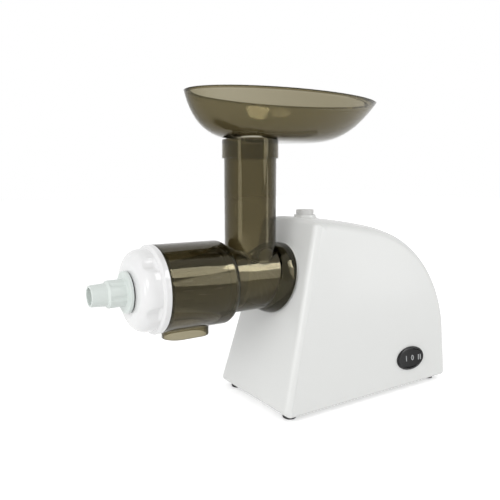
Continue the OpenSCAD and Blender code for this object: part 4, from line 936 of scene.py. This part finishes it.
# 1 for what the camera sees straight, in a reflection or through clear plastic, otherwise 0
def seenRays(tree):
    rays = addNode(tree, "LightPath")
    seen = addNode(tree, "Math", {0: rays.outputs["Is Camera Ray"], 1: rays.outputs["Is Glossy Ray"]},
                   operation="MAXIMUM")
    return addNode(tree, "Math", {0: seen.outputs[0], 1: rays.outputs["Is Transmission Ray"]},
                   operation="MAXIMUM").outputs[0]


floorForm = bmesh.new()
bmesh.ops.create_grid(floorForm, x_segments=1, y_segments=1, size=lv["floor"])
floorMesh = bpy.data.meshes.new("floor")
floorForm.to_mesh(floorMesh)
floorForm.free()
floor = bpy.data.objects.new("floor", floorMesh)
scene.collection.objects.link(floor)
floorSurface = makeSurface("paintedFloor", "#F8F8F8", 0.9, grain=2, depth=0, tone=0, cloud=300)
tree = floorSurface.node_tree
lift = addNode(tree, "Math", {0: seenRays(tree), 1: lv["floorLift"]}, operation="MULTIPLY")
lift = addNode(tree, "Emission", {"Strength": lift.outputs[0]})
both = addNode(tree, "AddShader", {0: tree.nodes["Principled BSDF"].outputs[0], 1: lift.outputs[0]})
tree.links.new(both.outputs[0], tree.nodes["Material Output"].inputs["Surface"])
floorMesh.materials.append(floorSurface)

world = scene.world or bpy.data.worlds.new("world")
scene.world = world
world.use_nodes = True
tree = world.node_tree
tree.nodes.clear()
glow = addNode(tree, "Background", {"Color": (1, 1, 1, 1), "Strength": lv["worldLight"]})
white = addNode(tree, "Background", {"Color": (1, 1, 1, 1), "Strength": 1})
both = addNode(tree, "MixShader", {0: seenRays(tree), 1: glow.outputs[0], 2: white.outputs[0]})
addNode(tree, "OutputWorld", {"Surface": both.outputs[0]})


# An area lamp; one for the gloss alone shows in reflections and lights nothing else
def addLamp(name, place, target, size, power, glossOnly=False, roll=0):
    lamp = bpy.data.objects.new(name, bpy.data.lights.new(name, "AREA"))
    lamp.data.shape = "ELLIPSE" if glossOnly else "RECTANGLE"
    lamp.data.size, lamp.data.size_y = size
    lamp.data.energy = power
    lamp.location = place
    lamp.rotation_euler = (Vector(target) - Vector(place)).to_track_quat("-Z", "Y").to_euler()
    lamp.rotation_euler.rotate_axis("Z", radians(roll))
    lamp.visible_diffuse, lamp.visible_glossy = not glossOnly, glossOnly
    scene.collection.objects.link(lamp)


addLamp("keyLamp", (-1.5, -0.8, 0.95), (0, 0, 0.12), (1.2, 1.2), lv["key"])
addLamp("fillLamp", (1.6, -1.2, 1.1), (0, 0, 0.12), (1.4, 1.4), lv["fill"])
# Seen only in the gloss: a band on the head's upper side, soft strips on the tube, light on the edge
addLamp("bandLamp", (0.97, -1.06, 1.24), (-0.05, 0, 0.14), (0.34, 0.7), lv["band"], True, -25)
addLamp("bandSideLamp", (0.64, -1.12, 1.24), (-0.1, 0, 0.14), (0.36, 0.7), lv["bandSide"], True, -20)
addLamp("bandLowLamp", (0.92, -1.42, 0.62), (-0.05, 0, 0.14), (0.8, 0.85), lv["bandLow"], True, -10)
addLamp("stripLamp", (1.1, -1.02, 0.05), (-0.05, 0, 0.2), (0.3, 0.5), lv["strip"], True)
addLamp("leftLamp", (-1.6, -0.35, 0.1), (-0.05, 0, 0.2), (0.5, 0.8), lv["left"], True)
addLamp("edgeLamp", (-1.3, -0.84, 0.66), (0, -0.05, 0.12), (0.45, 0.6), lv["edge"], True)

scene.view_settings.view_transform = "Standard"
print("scene ready")
